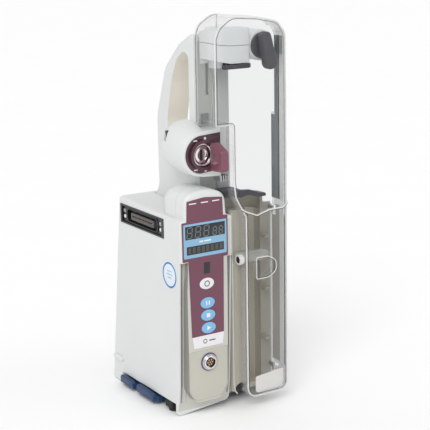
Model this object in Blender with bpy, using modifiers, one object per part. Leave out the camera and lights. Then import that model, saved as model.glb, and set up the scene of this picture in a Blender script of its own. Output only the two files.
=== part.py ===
"""Syringe pump module with a locking clear door, modelled as separate named pieces.

Working coordinates are millimetres: X from the left side of the case, Y from the seam
between case and front column, Z from the table. They become metres when a mesh is stored.
"""
import math

import bmesh
import bpy
from mathutils import Matrix, Vector

# ---- driving dimensions -------------------------------------------------------------
CENTRE_X, CENTRE_Y = 54.85, 51.23         # bounding-box centre in working coordinates
CASE_W, CASE_TOP, CASE_BOTTOM = 114.5, 197.0, 11.0
SEAM, FRONT = 3.0, -13.0                 # seam plane and front face of the column
WALL = 3.0
COLUMN_W = 58.0                          # width of the display column
DOOR_FRONT, DOOR_WALL = -24.0, 2.4
DOOR_HINGE = (110.0, -4.5)
SYRINGE = (86.0, 3.0)                    # axis of the syringe, vertical
BARREL_R = 12.5
SIDE_LABEL = (8.5, 141)                  # middle of the round label on the left side
LOCK = (29.5, 256.0)                     # axis of the key cylinder, along Y
DIAL = (96.4, 353.2)                     # axis of the plunger gripper control, along Y
TOWER = (35.0, COLUMN_W)                 # left and right faces of the tower
TOWER_FRONT = 13.0
POST = (58.6, 75.0, 13.5, 32.0)          # drive post: low x, high x, low y, high y
HEAD_BOTTOM, HEAD_PARTING, HEAD_TOP = 338.0, 354.5, 370.5
SCREW = (66.0, 42.0)
FIT = 0.1                                # gap between fixed neighbours
RUN = 0.35                               # gap beside a moving piece

for old in list(bpy.data.objects):
    bpy.data.objects.remove(old)

PARTS = bpy.data.collections.new("syringe_pump")
TOOLS = bpy.data.collections.new("cutters")
for collection in (PARTS, TOOLS):
    bpy.context.scene.collection.children.link(collection)


# ---- helpers ------------------------------------------------------------------------
def to_metres(x, y, z):
    return Vector(((x - CENTRE_X) / 1000, (y - CENTRE_Y) / 1000, z / 1000))


def material(name, colour, roughness=0.5, metallic=0.0, alpha=1.0):
    made = bpy.data.materials.new(name)
    made.use_nodes = True
    shader = made.node_tree.nodes["Principled BSDF"]
    shader.inputs["Base Color"].default_value = (*colour, 1.0)
    shader.inputs["Roughness"].default_value = roughness
    shader.inputs["Metallic"].default_value = metallic
    shader.inputs["Alpha"].default_value = alpha
    return made


def stored(name, bm):
    """A tool object from a bmesh in working millimetres; keep() turns it into a part."""
    for vert in bm.verts:
        vert.co = to_metres(*vert.co)
    bmesh.ops.remove_doubles(bm, verts=bm.verts, dist=1e-6)
    bmesh.ops.recalc_face_normals(bm, faces=bm.faces)
    if bm.calc_volume(signed=True) < 0:
        bmesh.ops.reverse_faces(bm, faces=bm.faces)
    mesh = bpy.data.meshes.new(name)
    bm.to_mesh(mesh)
    bm.free()
    obj = bpy.data.objects.new(name, mesh)
    TOOLS.objects.link(obj)
    obj.hide_render = True
    obj.display_type = "WIRE"
    return obj


def box(x, y, z, name="box"):
    bm = bmesh.new()
    bmesh.ops.create_cube(bm, size=1.0)
    for vert in bm.verts:
        vert.co = Vector((span[0] + (unit + 0.5) * (span[1] - span[0])
                          for span, unit in zip((x, y, z), vert.co)))
    return stored(name, bm)


AXES = {"X": Matrix(((0, 0, 1), (1, 0, 0), (0, 1, 0))),
        "Y": Matrix(((1, 0, 0), (0, 0, 1), (0, 1, 0))),
        "Z": Matrix.Identity(3)}


def cylinder(axis, centre, radius, span, sides=32, far_radius=None):
    """A cylinder or cone along an axis; centre is its place in the other two."""
    bm = bmesh.new()
    bmesh.ops.create_cone(bm, cap_ends=True, segments=sides, radius1=radius,
                          radius2=radius if far_radius is None else far_radius,
                          depth=span[1] - span[0])
    middle = (span[0] + span[1]) / 2
    for vert in bm.verts:
        local = Vector((vert.co.x + centre[0], vert.co.y + centre[1], vert.co.z + middle))
        vert.co = AXES[axis] @ local
    return stored("cylinder", bm)


def rounded(points, steps=4):
    """An outline from (u, v) or (u, v, corner radius) points, with arcs at the corners."""
    outline = []
    count = len(points)
    for index, point in enumerate(points):
        corner = Vector(point[:2])
        radius = point[2] if len(point) > 2 else 0
        if not radius:
            outline.append(tuple(corner))
            continue
        before = (Vector(points[index - 1][:2]) - corner).normalized()
        after = (Vector(points[(index + 1) % count][:2]) - corner).normalized()
        half = before.angle(after) / 2
        reach = radius / math.tan(half)
        centre = corner + (before + after).normalized() * (radius / math.sin(half))
        start, end = corner + before * reach - centre, corner + after * reach - centre
        sweep = start.angle_signed(end)
        for step in range(steps + 1):
            turn = Matrix.Rotation(-sweep * step / steps, 2)
            outline.append(tuple(centre + turn @ start))
    return outline


def arc(centre, radius, start, end, steps=12):
    """Points on a circle from one angle to another, in degrees."""
    angles = (math.radians(start + (end - start) * step / steps) for step in range(steps + 1))
    return [(centre[0] + radius * math.cos(a), centre[1] + radius * math.sin(a)) for a in angles]


def ellipse(centre, half_u, half_v, steps=28):
    return [(centre[0] + half_u * math.cos(2 * math.pi * step / steps),
             centre[1] + half_v * math.sin(2 * math.pi * step / steps)) for step in range(steps)]


def plate(axis, outline, span, edge=0.0, edge_steps=1):
    """A flat filled curve extruded along an axis, with its rims rounded by edge."""
    curve = bpy.data.curves.new("outline", "CURVE")
    curve.dimensions, curve.fill_mode = "2D", "BOTH"
    curve.extrude = (span[1] - span[0]) / 2 - edge
    curve.bevel_depth, curve.offset = edge, -edge
    curve.bevel_resolution = edge_steps
    spline = curve.splines.new("POLY")
    spline.points.add(len(outline) - 1)
    for point, (u, v) in zip(spline.points, outline):
        point.co = (u, v, 0, 1)
    spline.use_cyclic_u = True
    drawn = bpy.data.objects.new("outline", curve)
    bpy.context.scene.collection.objects.link(drawn)
    evaluated = drawn.evaluated_get(bpy.context.evaluated_depsgraph_get())
    mesh = bpy.data.meshes.new_from_object(evaluated)
    bm = bmesh.new()
    bm.from_mesh(mesh)
    bpy.data.objects.remove(drawn)
    bpy.data.meshes.remove(mesh)
    bpy.data.curves.remove(curve)
    bmesh.ops.remove_doubles(bm, verts=bm.verts, dist=1e-3)
    middle = (span[0] + span[1]) / 2
    for vert in bm.verts:
        vert.co = AXES[axis] @ Vector((vert.co.x, vert.co.y, vert.co.z + middle))
    return stored("plate", bm)


def lofted(rings):
    """A closed solid through rings of equally many points, with flat ends."""
    bm = bmesh.new()
    loops = [[bm.verts.new(point) for point in ring] for ring in rings]
    count = len(rings[0])
    for low, high in zip(loops, loops[1:]):
        for step in range(count):
            following = (step + 1) % count
            bm.faces.new((low[step], low[following], high[following], high[step]))
    bm.faces.new(loops[0])
    bm.faces.new(loops[-1])
    return stored("loft", bm)


def boolean(obj, operation, tools):
    for tool in tools:
        made = obj.modifiers.new(operation.lower(), "BOOLEAN")
        made.operation, made.object, made.solver = operation, tool, "EXACT"
    return obj


def cut(obj, *tools):
    return boolean(obj, "DIFFERENCE", tools)


def join(obj, *tools):
    return boolean(obj, "UNION", tools)


def soften(obj, width, segments=2, angle=35):
    made = obj.modifiers.new("soften", "BEVEL")
    made.width, made.segments = width / 1000, segments
    made.limit_method, made.angle_limit = "ANGLE", math.radians(angle)
    made.use_clamp_overlap = True
    return obj


def keep(obj, name, finish, pivot=None):
    """Names an object, gives it a material and, if it moves, an origin on its axis."""
    obj.name = obj.data.name = name
    obj.data.materials.append(finish)
    TOOLS.objects.unlink(obj)
    PARTS.objects.link(obj)
    obj.hide_render = False
    obj.display_type = "TEXTURED"
    if pivot:
        origin = to_metres(*pivot)
        obj.data.transform(Matrix.Translation(-origin))
        obj.location = origin
    return obj


# ---- materials ----------------------------------------------------------------------
WHITE = material("white_plastic", (0.72, 0.73, 0.75), 0.38)
BEIGE = material("beige_plastic", (0.52, 0.49, 0.44), 0.45)
MAROON = material("maroon_plastic", (0.20, 0.07, 0.11), 0.35)
BLUE = material("blue_print", (0.17, 0.36, 0.55), 0.4)
KEY_BLUE = material("key_blue", (0.20, 0.45, 0.72), 0.45)
KEY_WHITE = material("key_white", (0.82, 0.80, 0.82), 0.45)
WINDOW = material("dark_window", (0.03, 0.035, 0.045), 0.12)
GREY = material("dark_grey_plastic", (0.09, 0.085, 0.10), 0.42)
BLACK = material("black_plastic", (0.02, 0.02, 0.02), 0.4)
RUBBER = material("black_rubber", (0.02, 0.02, 0.02), 0.8)
LATCH_BLUE = material("latch_blue", (0.04, 0.11, 0.26), 0.45)
CHROME = material("chrome", (0.8, 0.8, 0.8), 0.12, 1.0)
STEEL = material("steel", (0.55, 0.55, 0.56), 0.3, 1.0)
BRASS = material("brass", (0.65, 0.48, 0.2), 0.35, 1.0)
CLEAR = material("clear_plastic", (0.9, 0.92, 0.92), 0.05, 0.0, 0.3)
BOARD = material("circuit_board", (0.03, 0.16, 0.07), 0.5)


# ---- case ---------------------------------------------------------------------------
def hump(left, right, foot, span, edge):
    """The arched shoulder that rises above the case behind the display column."""
    outline = rounded([(left, foot), (left, 219.5, 12), (27, 226.5, 40), (right, 217, 12),
                       (right, foot)], 4)
    return plate("Y", outline, span, edge, 2)


def rear_case():
    profile = rounded([(-6, CASE_BOTTOM), (-6, CASE_TOP), (106.5, CASE_TOP, 6), (132.3, 0, 3),
                       (114, 0, 3), (111.5, CASE_BOTTOM, 1)], 2)
    inner = rounded([(-9, CASE_BOTTOM + WALL), (-9, CASE_TOP - WALL),
                     (103.3, CASE_TOP - WALL), (126.5, CASE_BOTTOM + WALL)], 2)
    shell = plate("X", profile, (0, CASE_W), 2.0, 1)
    join(shell, hump(4.5, 54, 190, (-9, 31), 11.5))
    cut(shell,
        plate("X", inner, (WALL, CASE_W - WALL)),
        cylinder("X", SIDE_LABEL, 13.3, (-1, 0.5), 40),
        box((-5, 120), (-10, SEAM + FIT), (0, 240)),
        box((-2, WALL + 1), (17.8, 102.9), (174.6, 193.9)),
        box((CASE_W - WALL - 1, CASE_W + 2), (17.8, 102.9), (174.6, 193.9)),
        box((TOWER[0] - FIT, TOWER[1] + 0.25), (TOWER_FRONT - FIT, 98.2),
            (CASE_TOP - 0.6, 240)),
        box((POST[0] - RUN, POST[1] + RUN), (POST[2] - RUN, POST[3] + RUN), (185, 240)),
        cylinder("Z", SYRINGE, BARREL_R + 3.2, (185, 240), 32))
    keep(shell, "rear_case", WHITE)


def base():
    plate_body = soften(box((14, 108), (12, 110.5), (3, CASE_BOTTOM - FIT)), 1.0, 1)
    keep(join(plate_body, box((4, 16), (27, 110.5), (8.9, CASE_BOTTOM - FIT))), "base_plate", GREY)
    for side, x in (("left", (1, 13)), ("right", (100, 112))):
        foot = cylinder("Z", ((x[0] + x[1]) / 2, 18.5), 5.6, (0, 2.9), 24)
        if side == "left":
            foot = join(box((1, 13.8), (12, 25), (3.5, CASE_BOTTOM - FIT)),
                        cylinder("Z", (7.4, 18.5), 5.6, (0, 5), 24))
        keep(foot, side + "_foot", RUBBER)


def release_latch():
    latch = box((-1.5, 9), (36, 107), (3.6, 8.4))
    for low, high in ((81, 106.9), (39, 73)):
        pad = rounded([(low, 3.6), (low, 10.6, 3), (high, 12.0, 3), (high, 3.6)], 2)
        join(latch, plate("X", pad, (-5.4, -0.4), 1.0))
    keep(latch, "release_latch", LATCH_BLUE, (0, 36, 6))


def side_connector(side):
    """The recessed contact housing high on one side, with its contact block and screws."""
    left = side == "left"

    def span(low, high):
        return (low, high) if left else (CASE_W - high, CASE_W - low)

    housing = box(span(-0.6, 8), (17.9, 102.8), (174.7, 193.8))
    cut(housing, box(span(-2, 4.5), (31, 90), (177.6, 190.8)),
        box(span(-2, 1.0), (21.5, 99.8), (176.2, 192.3)))
    for y, z in ((25.5, 187.5), (96, 187.5)):
        cut(housing, cylinder("X", (y, z), 2.1, span(-2, 5), 16))
    keep(housing, side + "_connector_housing", BLACK)
    block = cut(box(span(0.6, 4.4), (38, 83), (180.4, 187.6)),
                box(span(-1, 2.6), (41, 80), (183, 185)))
    keep(block, side + "_contact_block", GREY)
    for place, y in (("front", 25.5), ("rear", 96)) if left else ():
        screw = cut(cylinder("X", (y, 187.5), 2.0, span(0.4, 4.9), 16),
                    box(span(-1, 0.9), (y - 2.5, y + 2.5), (187.15, 187.85)))
        keep(screw, side + "_screw_" + place, STEEL)


# ---- display column -----------------------------------------------------------------
KEYS = {"select": (27.5, 133.3), "pause": (28.0, 114.0), "channel_off": (28.3, 101.6),
        "restart": (28.7, 89.0)}
FRAME_OUTLINE = rounded([(2.9, 160.5, 1), (2.9, 193.5, 1), (50.5, 193.5, 1), (50.5, 160.5, 1)], 2)
WINDOWS = {"upper": [(4.8, 178.7), (4.8, 191.3), (48.7, 191.3), (48.7, 178.7)],
           "lower": [(6.2, 163.8), (6.2, 171.8), (47.4, 171.8), (47.4, 163.8)]}
IR_WINDOW = [(24.7, 143.2), (24.7, 154), (31.3, 154), (31.3, 143.2)]


def grown(outline, gap):
    """An outline scaled about its middle so that its sides move by gap."""
    mid_u = (min(u for u, _ in outline) + max(u for u, _ in outline)) / 2
    mid_v = (min(v for _, v in outline) + max(v for _, v in outline)) / 2
    half_u = max(u for u, _ in outline) - mid_u
    half_v = max(v for _, v in outline) - mid_v
    return [(mid_u + (u - mid_u) * (1 + gap / half_u), mid_v + (v - mid_v) * (1 + gap / half_v))
            for u, v in outline]


RIM = [(156.5, -9.6), (110, -7.5), (65, -6.0), (30, -4.5), (14, -2.6), (5, -1.0), (0, 0.0)]


def island(span):
    """The raised middle of the column below the display, with the display part above it."""
    return plate("Y", rounded([(-8, 156.5), (7.8, 156.5), (6.3, 128, 20), (6.4, 27, 14), (14, 15.2, 9),
                               (43, 15.2, 9), (50.2, 27, 14), (51.2, 128, 20), (51.2, 156.5),
                               (66, 156.5), (66, 240), (-8, 240)], 3), span)


def gutter(outer, inner):
    """A concave channel between the column's outer rim and the island."""
    step = 1 if inner > outer else -1
    rings = []
    for (z, front), depth in zip(RIM[:5], (2.6, 2.6, 2.6, 2.2, 0.4)):
        rings.append([(x, y, z) for x, y in (
            (outer, front - 6), (outer, front), (outer + step * 0.9, front + depth * 0.7),
            (outer + step * 2.4, front + depth), (inner - step * 1.0, front + depth),
            (inner + step * 1.5, front + depth * 0.8), (inner + step * 1.5, front - 6))])
    return lofted(rings)


def front_bezel():
    """The column's moulded front: arched top, raised island and a gutter down each side."""
    body = plate("Y", rounded([(0, 0, 3.3), (0, 196.8), (4.8, 197.5, 0.5), (4.8, 219.5, 12),
                               (27, 226.5, 40), (49.8, 218.5, 12), (51.5, 197.5, 2), (58, 195),
                               (58, 6, 5)], 4),
                 (FRONT, SEAM + 8), 3.0, 2)
    slope = [(y, z) for z, y in RIM] + [(-30, -6), (-30, 156.5)]
    channels = cut(join(plate("X", slope, (-8, 66)), gutter(1.3, 6.6), gutter(56.8, 50.6)),
                   island((-40, 20)))
    cut(body, channels)
    cut(body, box((-5, 65), (SEAM, SEAM + 20), (-5, 240)),
        box((3.5, 54.5), (-0.6, SEAM + 5), (20, 150)),
        box((3.5, 54.5), (-4.4, SEAM + 5), (158.5, 193)),
        box((9.5, 48.5), (-9, SEAM + 5), (72, 193)),
        plate("Y", connector_panel_outline(FIT), (FRONT - 3, FRONT + 2.2)),
        cylinder("X", SIDE_LABEL, 13.3, (-1, 0.5), 40))
    for centre in KEYS.values():
        cut(body, plate("Y", ellipse(centre, 8.3, 5.85), (FRONT - 1, FRONT + 2.4)))
    keep(body, "front_bezel", WHITE)


def connector_panel_outline(gap=0.0):
    return rounded([(6.6 - gap, 67.2 + gap), (50.0 + gap, 67.2 + gap), (49.6 + gap, 28 - gap, 10),
                    (43, 16.6 - gap, 8), (14, 16.6 - gap, 8), (7.0 - gap, 28 - gap, 10)], 3)


SOCKET = (28.7, 54.5)                    # axis of the round socket, along Y


def connector_panel():
    panel = plate("Y", connector_panel_outline(), (FRONT, FRONT + 2.1))
    cut(panel, cylinder("Y", SOCKET, 6.6, (FRONT - 2, FRONT + 4), 28))
    keep(panel, "connector_panel", BEIGE)
    ring = cut(cylinder("Y", SOCKET, 8.3, (FRONT - 2.4, FRONT - 0.05), 32, 7.5),
               cylinder("Y", SOCKET, 6.6, (FRONT - 4, FRONT + 1), 28))
    keep(ring, "connector_ring", BLUE)
    shell = cut(cylinder("Y", SOCKET, 6.5, (FRONT - 3.2, FRONT + 2.0), 28),
                cylinder("Y", SOCKET, 4.7, (FRONT - 4, FRONT + 0.5), 24))
    keep(shell, "connector_shell", CHROME)
    keep(cylinder("Y", SOCKET, 4.6, (FRONT - 1.6, FRONT + 0.4), 20),
         "connector_insert", BLACK)


def keypad():
    face = FRONT - 0.6
    overlay = plate("Y", rounded([(7.2, 215.0, 1), (26, 217.2, 30), (46.2, 215.0, 1),
                                  (47, 197.2, 0.6), (51.8, 197.0, 0.6), (51.8, 157.5, 0.6),
                                  (46.8, 157.3, 0.6), (45.9, 82.1), (10.3, 82.1),
                                  (8.1, 157.5, 0.6), (1.6, 157.6, 0.6), (1.3, 195.2, 0.6),
                                  (6.6, 195.4, 0.6)], 2), (face, FRONT - 0.05))
    cut(overlay, plate("Y", grown(FRAME_OUTLINE, FIT), (face - 1, FRONT + 1)),
        plate("Y", grown(IR_WINDOW, FIT), (face - 1, FRONT + 1)))
    for centre in KEYS.values():
        cut(overlay, plate("Y", ellipse(centre, 8.3, 5.85), (face - 1, FRONT + 1)))
    keep(overlay, "keypad_overlay", MAROON)
    frame = plate("Y", FRAME_OUTLINE, (face, FRONT - 0.05))
    for name, outline in WINDOWS.items():
        cut(frame, plate("Y", grown(outline, 0.05), (face - 1, FRONT + 1)))
        keep(plate("Y", grown(outline, -0.02), (face + 0.15, FRONT - 0.05)),
             name + "_display_window", WINDOW)
    keep(frame, "display_frame", BLUE)
    keep(plate("Y", IR_WINDOW, (face + 0.1, FRONT - 0.05)), "infrared_window", WINDOW)
    keep(plate("Y", [(10.3, 82.0), (45.9, 82.0), (44.6, 70.3), (12.2, 70.3)],
               (face, FRONT - 0.05)), "label_strip", KEY_WHITE)
    for name, (x, z) in KEYS.items():
        key = plate("Y", ellipse((x, z), 8.0, 5.55), (FRONT - 1.1, FRONT + 0.8), 0.4)
        keep(key, name + "_key", KEY_WHITE if name == "select" else KEY_BLUE, (x, FRONT, z))
    keep(cylinder("X", SIDE_LABEL, 13.2, (0.05, 0.45), 40), "side_label", KEY_WHITE)


# ---- tower, handle and lock ---------------------------------------------------------
def tower_handle():
    """One moulding: the tower behind the door and the carrying handle arching behind it."""
    outer = rounded([(TOWER_FRONT, CASE_TOP - 0.5), (TOWER_FRONT, 365, 5.5), (24, 365, 8), (44, 355, 22),
                     (70.5, 331, 30), (88.5, 282, 40), (88.5, 240, 30), (88, 212, 10),
                     (98, CASE_TOP - 0.5)], 4)
    opening = rounded([(24, 250, 6), (24, 345, 5), (33, 349, 8), (46, 340, 14), (57, 318, 22),
                       (65.5, 280, 30), (65.5, 250, 8)], 4)
    tower = plate("X", outer, TOWER, 4.5, 2)
    cut(tower, plate("X", opening, (TOWER[0] - 5, TOWER[1] + 5)),
        box((46.7, 51.2), (TOWER_FRONT - 2, TOWER_FRONT + 5), (308, 342)),
        box((40.6, 49.3), (TOWER_FRONT - 2, TOWER_FRONT + 1.6), (281.4, 291)),
        box((TOWER[0] - 1, 50.8), (TOWER_FRONT - 2, TOWER_FRONT + FIT), (225, 285)))
    keep(tower, "tower_handle", WHITE)
    keep(box((46.8, 51.1), (TOWER_FRONT + 3, TOWER_FRONT + 4.9), (308.1, 341.9)),
         "tower_slot_seal", GREY)
    keep(box((40.7, 49.2), (TOWER_FRONT - 0.6, TOWER_FRONT + 1.5), (281.5, 290.9)),
         "tower_pad", GREY)


def lock():
    x, z = LOCK
    rings = []
    for radius, y, aside, above in ((20, -6, 0, 0), (21, -5, 0, 0), (22, 0, 0.3, 0.6),
                                    (23.8, 12, 1.2, 2.0), (24.6, 24, 2.4, 4.0),
                                    (24.0, 33, 2.6, 4.0), (20.5, 38.5, 2.6, 3.8),
                                    (13, 41, 2.6, 3.6)):
        rings.append([(x + aside + u, y, z + above + v)
                      for u, v in ellipse((0, 0), radius, radius, 48)])
    drum = lofted(rings)
    block = plate("Y", [(x, z - 21.4), (x, z + 21), (50.5, z + 23.8), (50.5, z - 22.8)], (-6, 13),
                  1.0, 1)
    cut(drum, box((TOWER[0] - FIT, 70), (-20, 60), (200, 300)))
    housing = join(drum, block)
    cut(housing, box((TOWER[0] - FIT, 60), (TOWER_FRONT - 0.05, 60), (200, 300)),
        plate("Y", escutcheon_outline(FIT), (-9, -4.8)),
        cylinder("Y", LOCK, 11.2, (-9, 10), 32),
        plate("X", [(23.5, 266.5), (26.5, 276), (31, 276), (28, 266.5)], (0, 16)))
    keep(housing, "lock_housing", WHITE)
    plate_front = plate("Y", escutcheon_outline(), (-6.9, -4.9), 0.4)
    cut(plate_front, cylinder("Y", LOCK, 11.2, (-9, 10), 32))
    keep(plate_front, "lock_escutcheon", MAROON)
    ring = cut(cylinder("Y", LOCK, 11.1, (-8.6, 9.5), 32),
               cylinder("Y", LOCK, 8.7, (-12, 7), 28))
    keep(ring, "lock_ring", CHROME)
    plug = cut(cylinder("Y", LOCK, 8.3, (-7.4, 6.5), 28),
               box((x - 1.4, x + 1.4), (-10, 3), (z - 5.2, z + 5.2)))
    keep(plug, "key_plug", CHROME, (x, 0, z))
    fin = plate("X", rounded([(-9.2, 240.2, 1.5), (-9.2, 267.2, 1.5), (-15, 267.2, 3),
                              (-29.4, 260.5, 4), (-29.4, 241.5, 3)], 2), (36.2, 44.4), 1.2)
    hub = cut(cylinder("Y", LOCK, 14.4, (-10.4, -9.0), 36), cylinder("Y", LOCK, 11.4, (-12, -8), 32))
    keep(join(fin, hub), "latch_lever", MAROON, (x, 0, z))
    keep(cut(box((50.9, 61.5), (-3.5, 7), (227.6, 232.6)),
             *[box((left, left + 1.3), (-5, 5), (226, 234)) for left in (52.6, 55.2, 57.8)]),
         "latch_keeper", BLACK)


def escutcheon_outline(gap=0.0):
    x, z = LOCK
    return (arc((x, z), 17.9 + gap, 96, 262, 16)
            + [(49.6 + gap, 240.2 - gap), (49.6 + gap, 275.2 + gap)])


# ---- drive head ---------------------------------------------------------------------
JAW_PIVOTS = ((58.5, -4.7), (58.5, 1.7))


def drive_head():
    outline = rounded([(39.6, 12.4, 1), (41.8, -1, 5), (52, -7.4, 8), (83.2, -8.4, 2), (83.2, 12.4),
                       (POST[1], 12.4), (POST[1], 32), (POST[0], 32), (POST[0], 12.4)], 2)
    parting = [(30, 359.4), (41, 358.2), (50, 356), (60, 354.8), (70, HEAD_PARTING),
               (95, HEAD_PARTING)]
    upper = plate("Z", outline, (HEAD_BOTTOM, HEAD_TOP), 1.2)
    cut(upper, plate("Y", rounded([(30, 366), (50, 370.2, 20), (70, 373), (90, 373), (90, 380),
                                   (30, 380)], 2), (-20, 40)),
        plate("Y", [(x, z + 0.08) for x, z in parting] + [(95, 330), (30, 330)], (-20, 40)))
    keep(upper, "head_upper_cover", WHITE)
    bottom = [(30, 345), (41, 343), (50, 340.5), (60, 338.6), (66, HEAD_BOTTOM - 1)]
    lower = cut(plate("Z", outline, (HEAD_BOTTOM, 365)),
                plate("Y", [(x, z - 0.08) for x, z in parting] + [(95, 380), (30, 380)], (-20, 40)),
                plate("Y", bottom + [(30, HEAD_BOTTOM - 1)], (-20, 12.3)),
                cylinder("Z", (79, SYRINGE[1]), 4.3, (330, 343), 20),
                *[cylinder("Z", pivot, 1.9, (330, 344), 16) for pivot in JAW_PIVOTS])
    keep(lower, "head_lower_cover", WHITE)
    housing = cut(cylinder("Y", DIAL, 14.6, (-7.2, 12), 36),
                  box((70, 83.35), (-20, 20), (320, 380)),
                  cylinder("Y", DIAL, 5.4, (-10, 6), 20))
    keep(housing, "gripper_housing", WHITE)
    dial = join(cylinder("Y", DIAL, 12.2, (-9.6, -7.45), 32), cylinder("Y", DIAL, 5.0, (-9, 5), 20))
    keep(dial, "gripper_dial", GREY, (DIAL[0], 0, DIAL[1]))
    x, z = DIAL
    teardrop = (arc((x - 1.5, z + 8.5), 5.0, 8, 182, 8)
                + arc((x + 3.2, z - 15.5), 6.6, 182, 368, 8))
    undercut = cut(cylinder("Y", DIAL, 30, (-12.9, -5), 32), cylinder("Y", DIAL, 12.4, (-14, -4), 32))
    keep(cut(plate("Y", teardrop, (-20, -9.7), 1.2, 2), undercut), "gripper_lever", GREY, (x, 0, z))
    keep(plate("Z", rounded([(POST[0], POST[2], 5), (POST[0], POST[3], 1), (POST[1], POST[3], 1),
                             (POST[1], POST[2], 5)], 3), (166, HEAD_BOTTOM - 0.05)),
         "drive_post", WHITE)
    nut = cut(plate("Z", rounded([(56, 19.5, 2), (56, 56, 2), (78, 56, 2), (78, 19.5, 2)], 1),
                    (150, 165.95)),
              cylinder("Z", SCREW, 4.4, (140, 170), 20))
    keep(nut, "drive_nut", STEEL)
    keep(cylinder("Z", (79, SYRINGE[1]), 4.0, (337.5, 341), 20), "plunger_sensor", BLACK,
         (79, SYRINGE[1], 338))


def jaws():
    """Two arms below the head that close round the plunger's flange from front and rear."""
    for name, sign, pivot in (("front_jaw", -1, JAW_PIVOTS[0]), ("rear_jaw", 1, JAW_PIVOTS[1])):
        middle = SYRINGE[1] - 3
        inner, outer = (middle + sign * 1.0), (middle + sign * 9.2)
        points = [(54.5, pivot[1] - sign * 1.6, 1), (54.5, pivot[1] + sign * 4, 3),
                  (65, outer, 8), (81, outer + sign * 0.5, 5), (86.6, inner + sign * 4, 2),
                  (82, inner, 2), (63, inner, 2)]
        arm = plate("Z", rounded(points, 2), (333.0 if sign < 0 else 333.6, 337.2), 0.8)
        keep(join(arm, cylinder("Z", pivot, 1.5, (335, 342), 16)), name, GREY, (*pivot, 334))


# ---- drive inside the case ----------------------------------------------------------
def inner_drive():
    keep(cylinder("Z", SCREW, 4.0, (45.3, 187), 20), "lead_screw", STEEL, (*SCREW, 45))
    keep(soften(cylinder("Z", SCREW, 13, (14.2, 45), 28), 1.0, 1), "drive_motor", GREY)
    keep(cut(cylinder("Z", SCREW, 8, (186, 193.9), 24), cylinder("Z", SCREW, 4.05, (180, 188), 20)),
         "screw_bearing", BRASS)
    keep(box((8, 9.6), (12, 100), (20, 168)), "main_board", BOARD)
    keep(box((10, 48), (-7, -5.4), (90, 190)), "display_board", BOARD)


# ---- syringe compartment ------------------------------------------------------------
def cradle():
    x, y = SYRINGE
    outline = rounded([(58.2, 3), (58.2, -7, 3), (64, -10.4, 6), (74, -10.4, 4), (77, -6, 3),
                       (78, -1), (98, -1), (98.5, 1.3), (111.3, 1.3), (111.3, 3), (108, 3),
                       (108, 10), (100, 18), (76.2, 18), (76.2, 12.6), (61, 12.6), (61, 3)], 3)
    body = plate("Z", outline, (CASE_BOTTOM + 0.2, 199))
    cut(body, cylinder("Z", (x, y), BARREL_R, (17, 210), 32),
        plate("Z", [(x - 9.4, -12), (x - 9.4, 0), (x + 13, 0), (x + 13, -12)], (19, 210)),
        cylinder("Y", (67.5, 17.5), 6.2, (-20, 8), 24),
        box((61.3, 73.7), (-20, 8), (0, 17.5)),
        cylinder("Y", (67, 152), 3.4 + RUN, (-20, 6), 20),
        box((50, 120), (SEAM, 30), (0, CASE_BOTTOM + WALL + 0.2)),
        box((50, 120), (SEAM, 30), (CASE_TOP - WALL - 0.3, 210)),
        box((50, 120), (-12, 0), (0, CASE_BOTTOM + DOOR_WALL + 1.6)))
    for z in (62, 113.8, 166.5):
        join(body, box((98, 104.4), (-9, 1.6), (z, z + 1.8)))
    keep(body, "syringe_cradle", BEIGE)
    collar = cut(cylinder("Z", (x, y), BARREL_R + 3, (193.9, 210), 32),
                 cylinder("Z", (x, y), BARREL_R, (190, 220), 32),
                 box((60, 110), (-30, 0), (190, 220)), box((60, 75.6), (-30, 40), (190, 220)),
                 box((60, 110), (-30, SEAM + 0.4), (190, 199.1)))
    keep(collar, "barrel_collar", BEIGE)
    grip = plate("Y", rounded([(54.3, 219.5, 1), (70, 217.5, 8), (81, 216.5, 8), (90, 212.6, 8),
                               (98, 211.6, 1), (98, 208.6, 0.6), (89, 208.6, 6), (78, 211.8, 6),
                               (69, 210.5, 4), (54.3, 212.4, 1)], 2), (-11.5, -5.8), 0.8)
    join(grip, plate("Z", rounded([(54.3, -7, 1), (54.3, 12.4, 1), (72.6, 12.4, 1),
                                   (72.6, -7, 1)], 1), (211.5, 217)))
    keep(grip, "flange_gripper", GREY)
    keep(box((59.5, 72.4), (SEAM + 0.2, 12.4), (CASE_TOP + FIT, 211.4)), "gripper_bracket", BEIGE)


def barrel_clamp():
    """The sprung arm that presses the barrel into the trough; it pulls straight out."""
    arm = plate("Y", rounded([(60.5, 146.5, 3), (60.5, 157.5, 3), (90, 157.5, 3), (98.6, 155, 3.5),
                              (98.6, 149, 3.5), (90, 146.5, 3)], 3), (-16.2, -11), 1.0)
    knob = cylinder("X", (-18.2, 152), 5.0, (59.8, 64.8), 24)
    join(arm, cylinder("Y", (67, 152), 3.4, (-12, 4), 20), knob)
    keep(arm, "barrel_clamp", BEIGE, (67, 0, 152))


# ---- clear door ---------------------------------------------------------------------
def door_outline(gap):
    """The door seen from the front; gap moves every side inwards."""
    g = gap
    return rounded([(33.8 + g, 283 + g), (33.8 + g, 363, 6), (37.5 + g, 374.5 - g, 12),
                    (53, 384 - g, 18), (80, 382 - g, 60), (103, 377.5 - g, 12),
                    (113.5 - g, 366 - g, 12), (114.0 - g, 300), (114.5 - g, 11 + g, 9 - g),
                    (66 + g, 11 + g, 11 - g), (66 + g, 193 + g, 3), (54.8 + g, 214, 6),
                    (52.6 + g, 230), (52.6 + g, 283 + g, 2.0 + g)], 3)


V_LINE = [(60, 203), (66, 199.5), (78, 194.6), (92, 198.5), (107.7, 198.6), (113.6, 203)]


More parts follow.
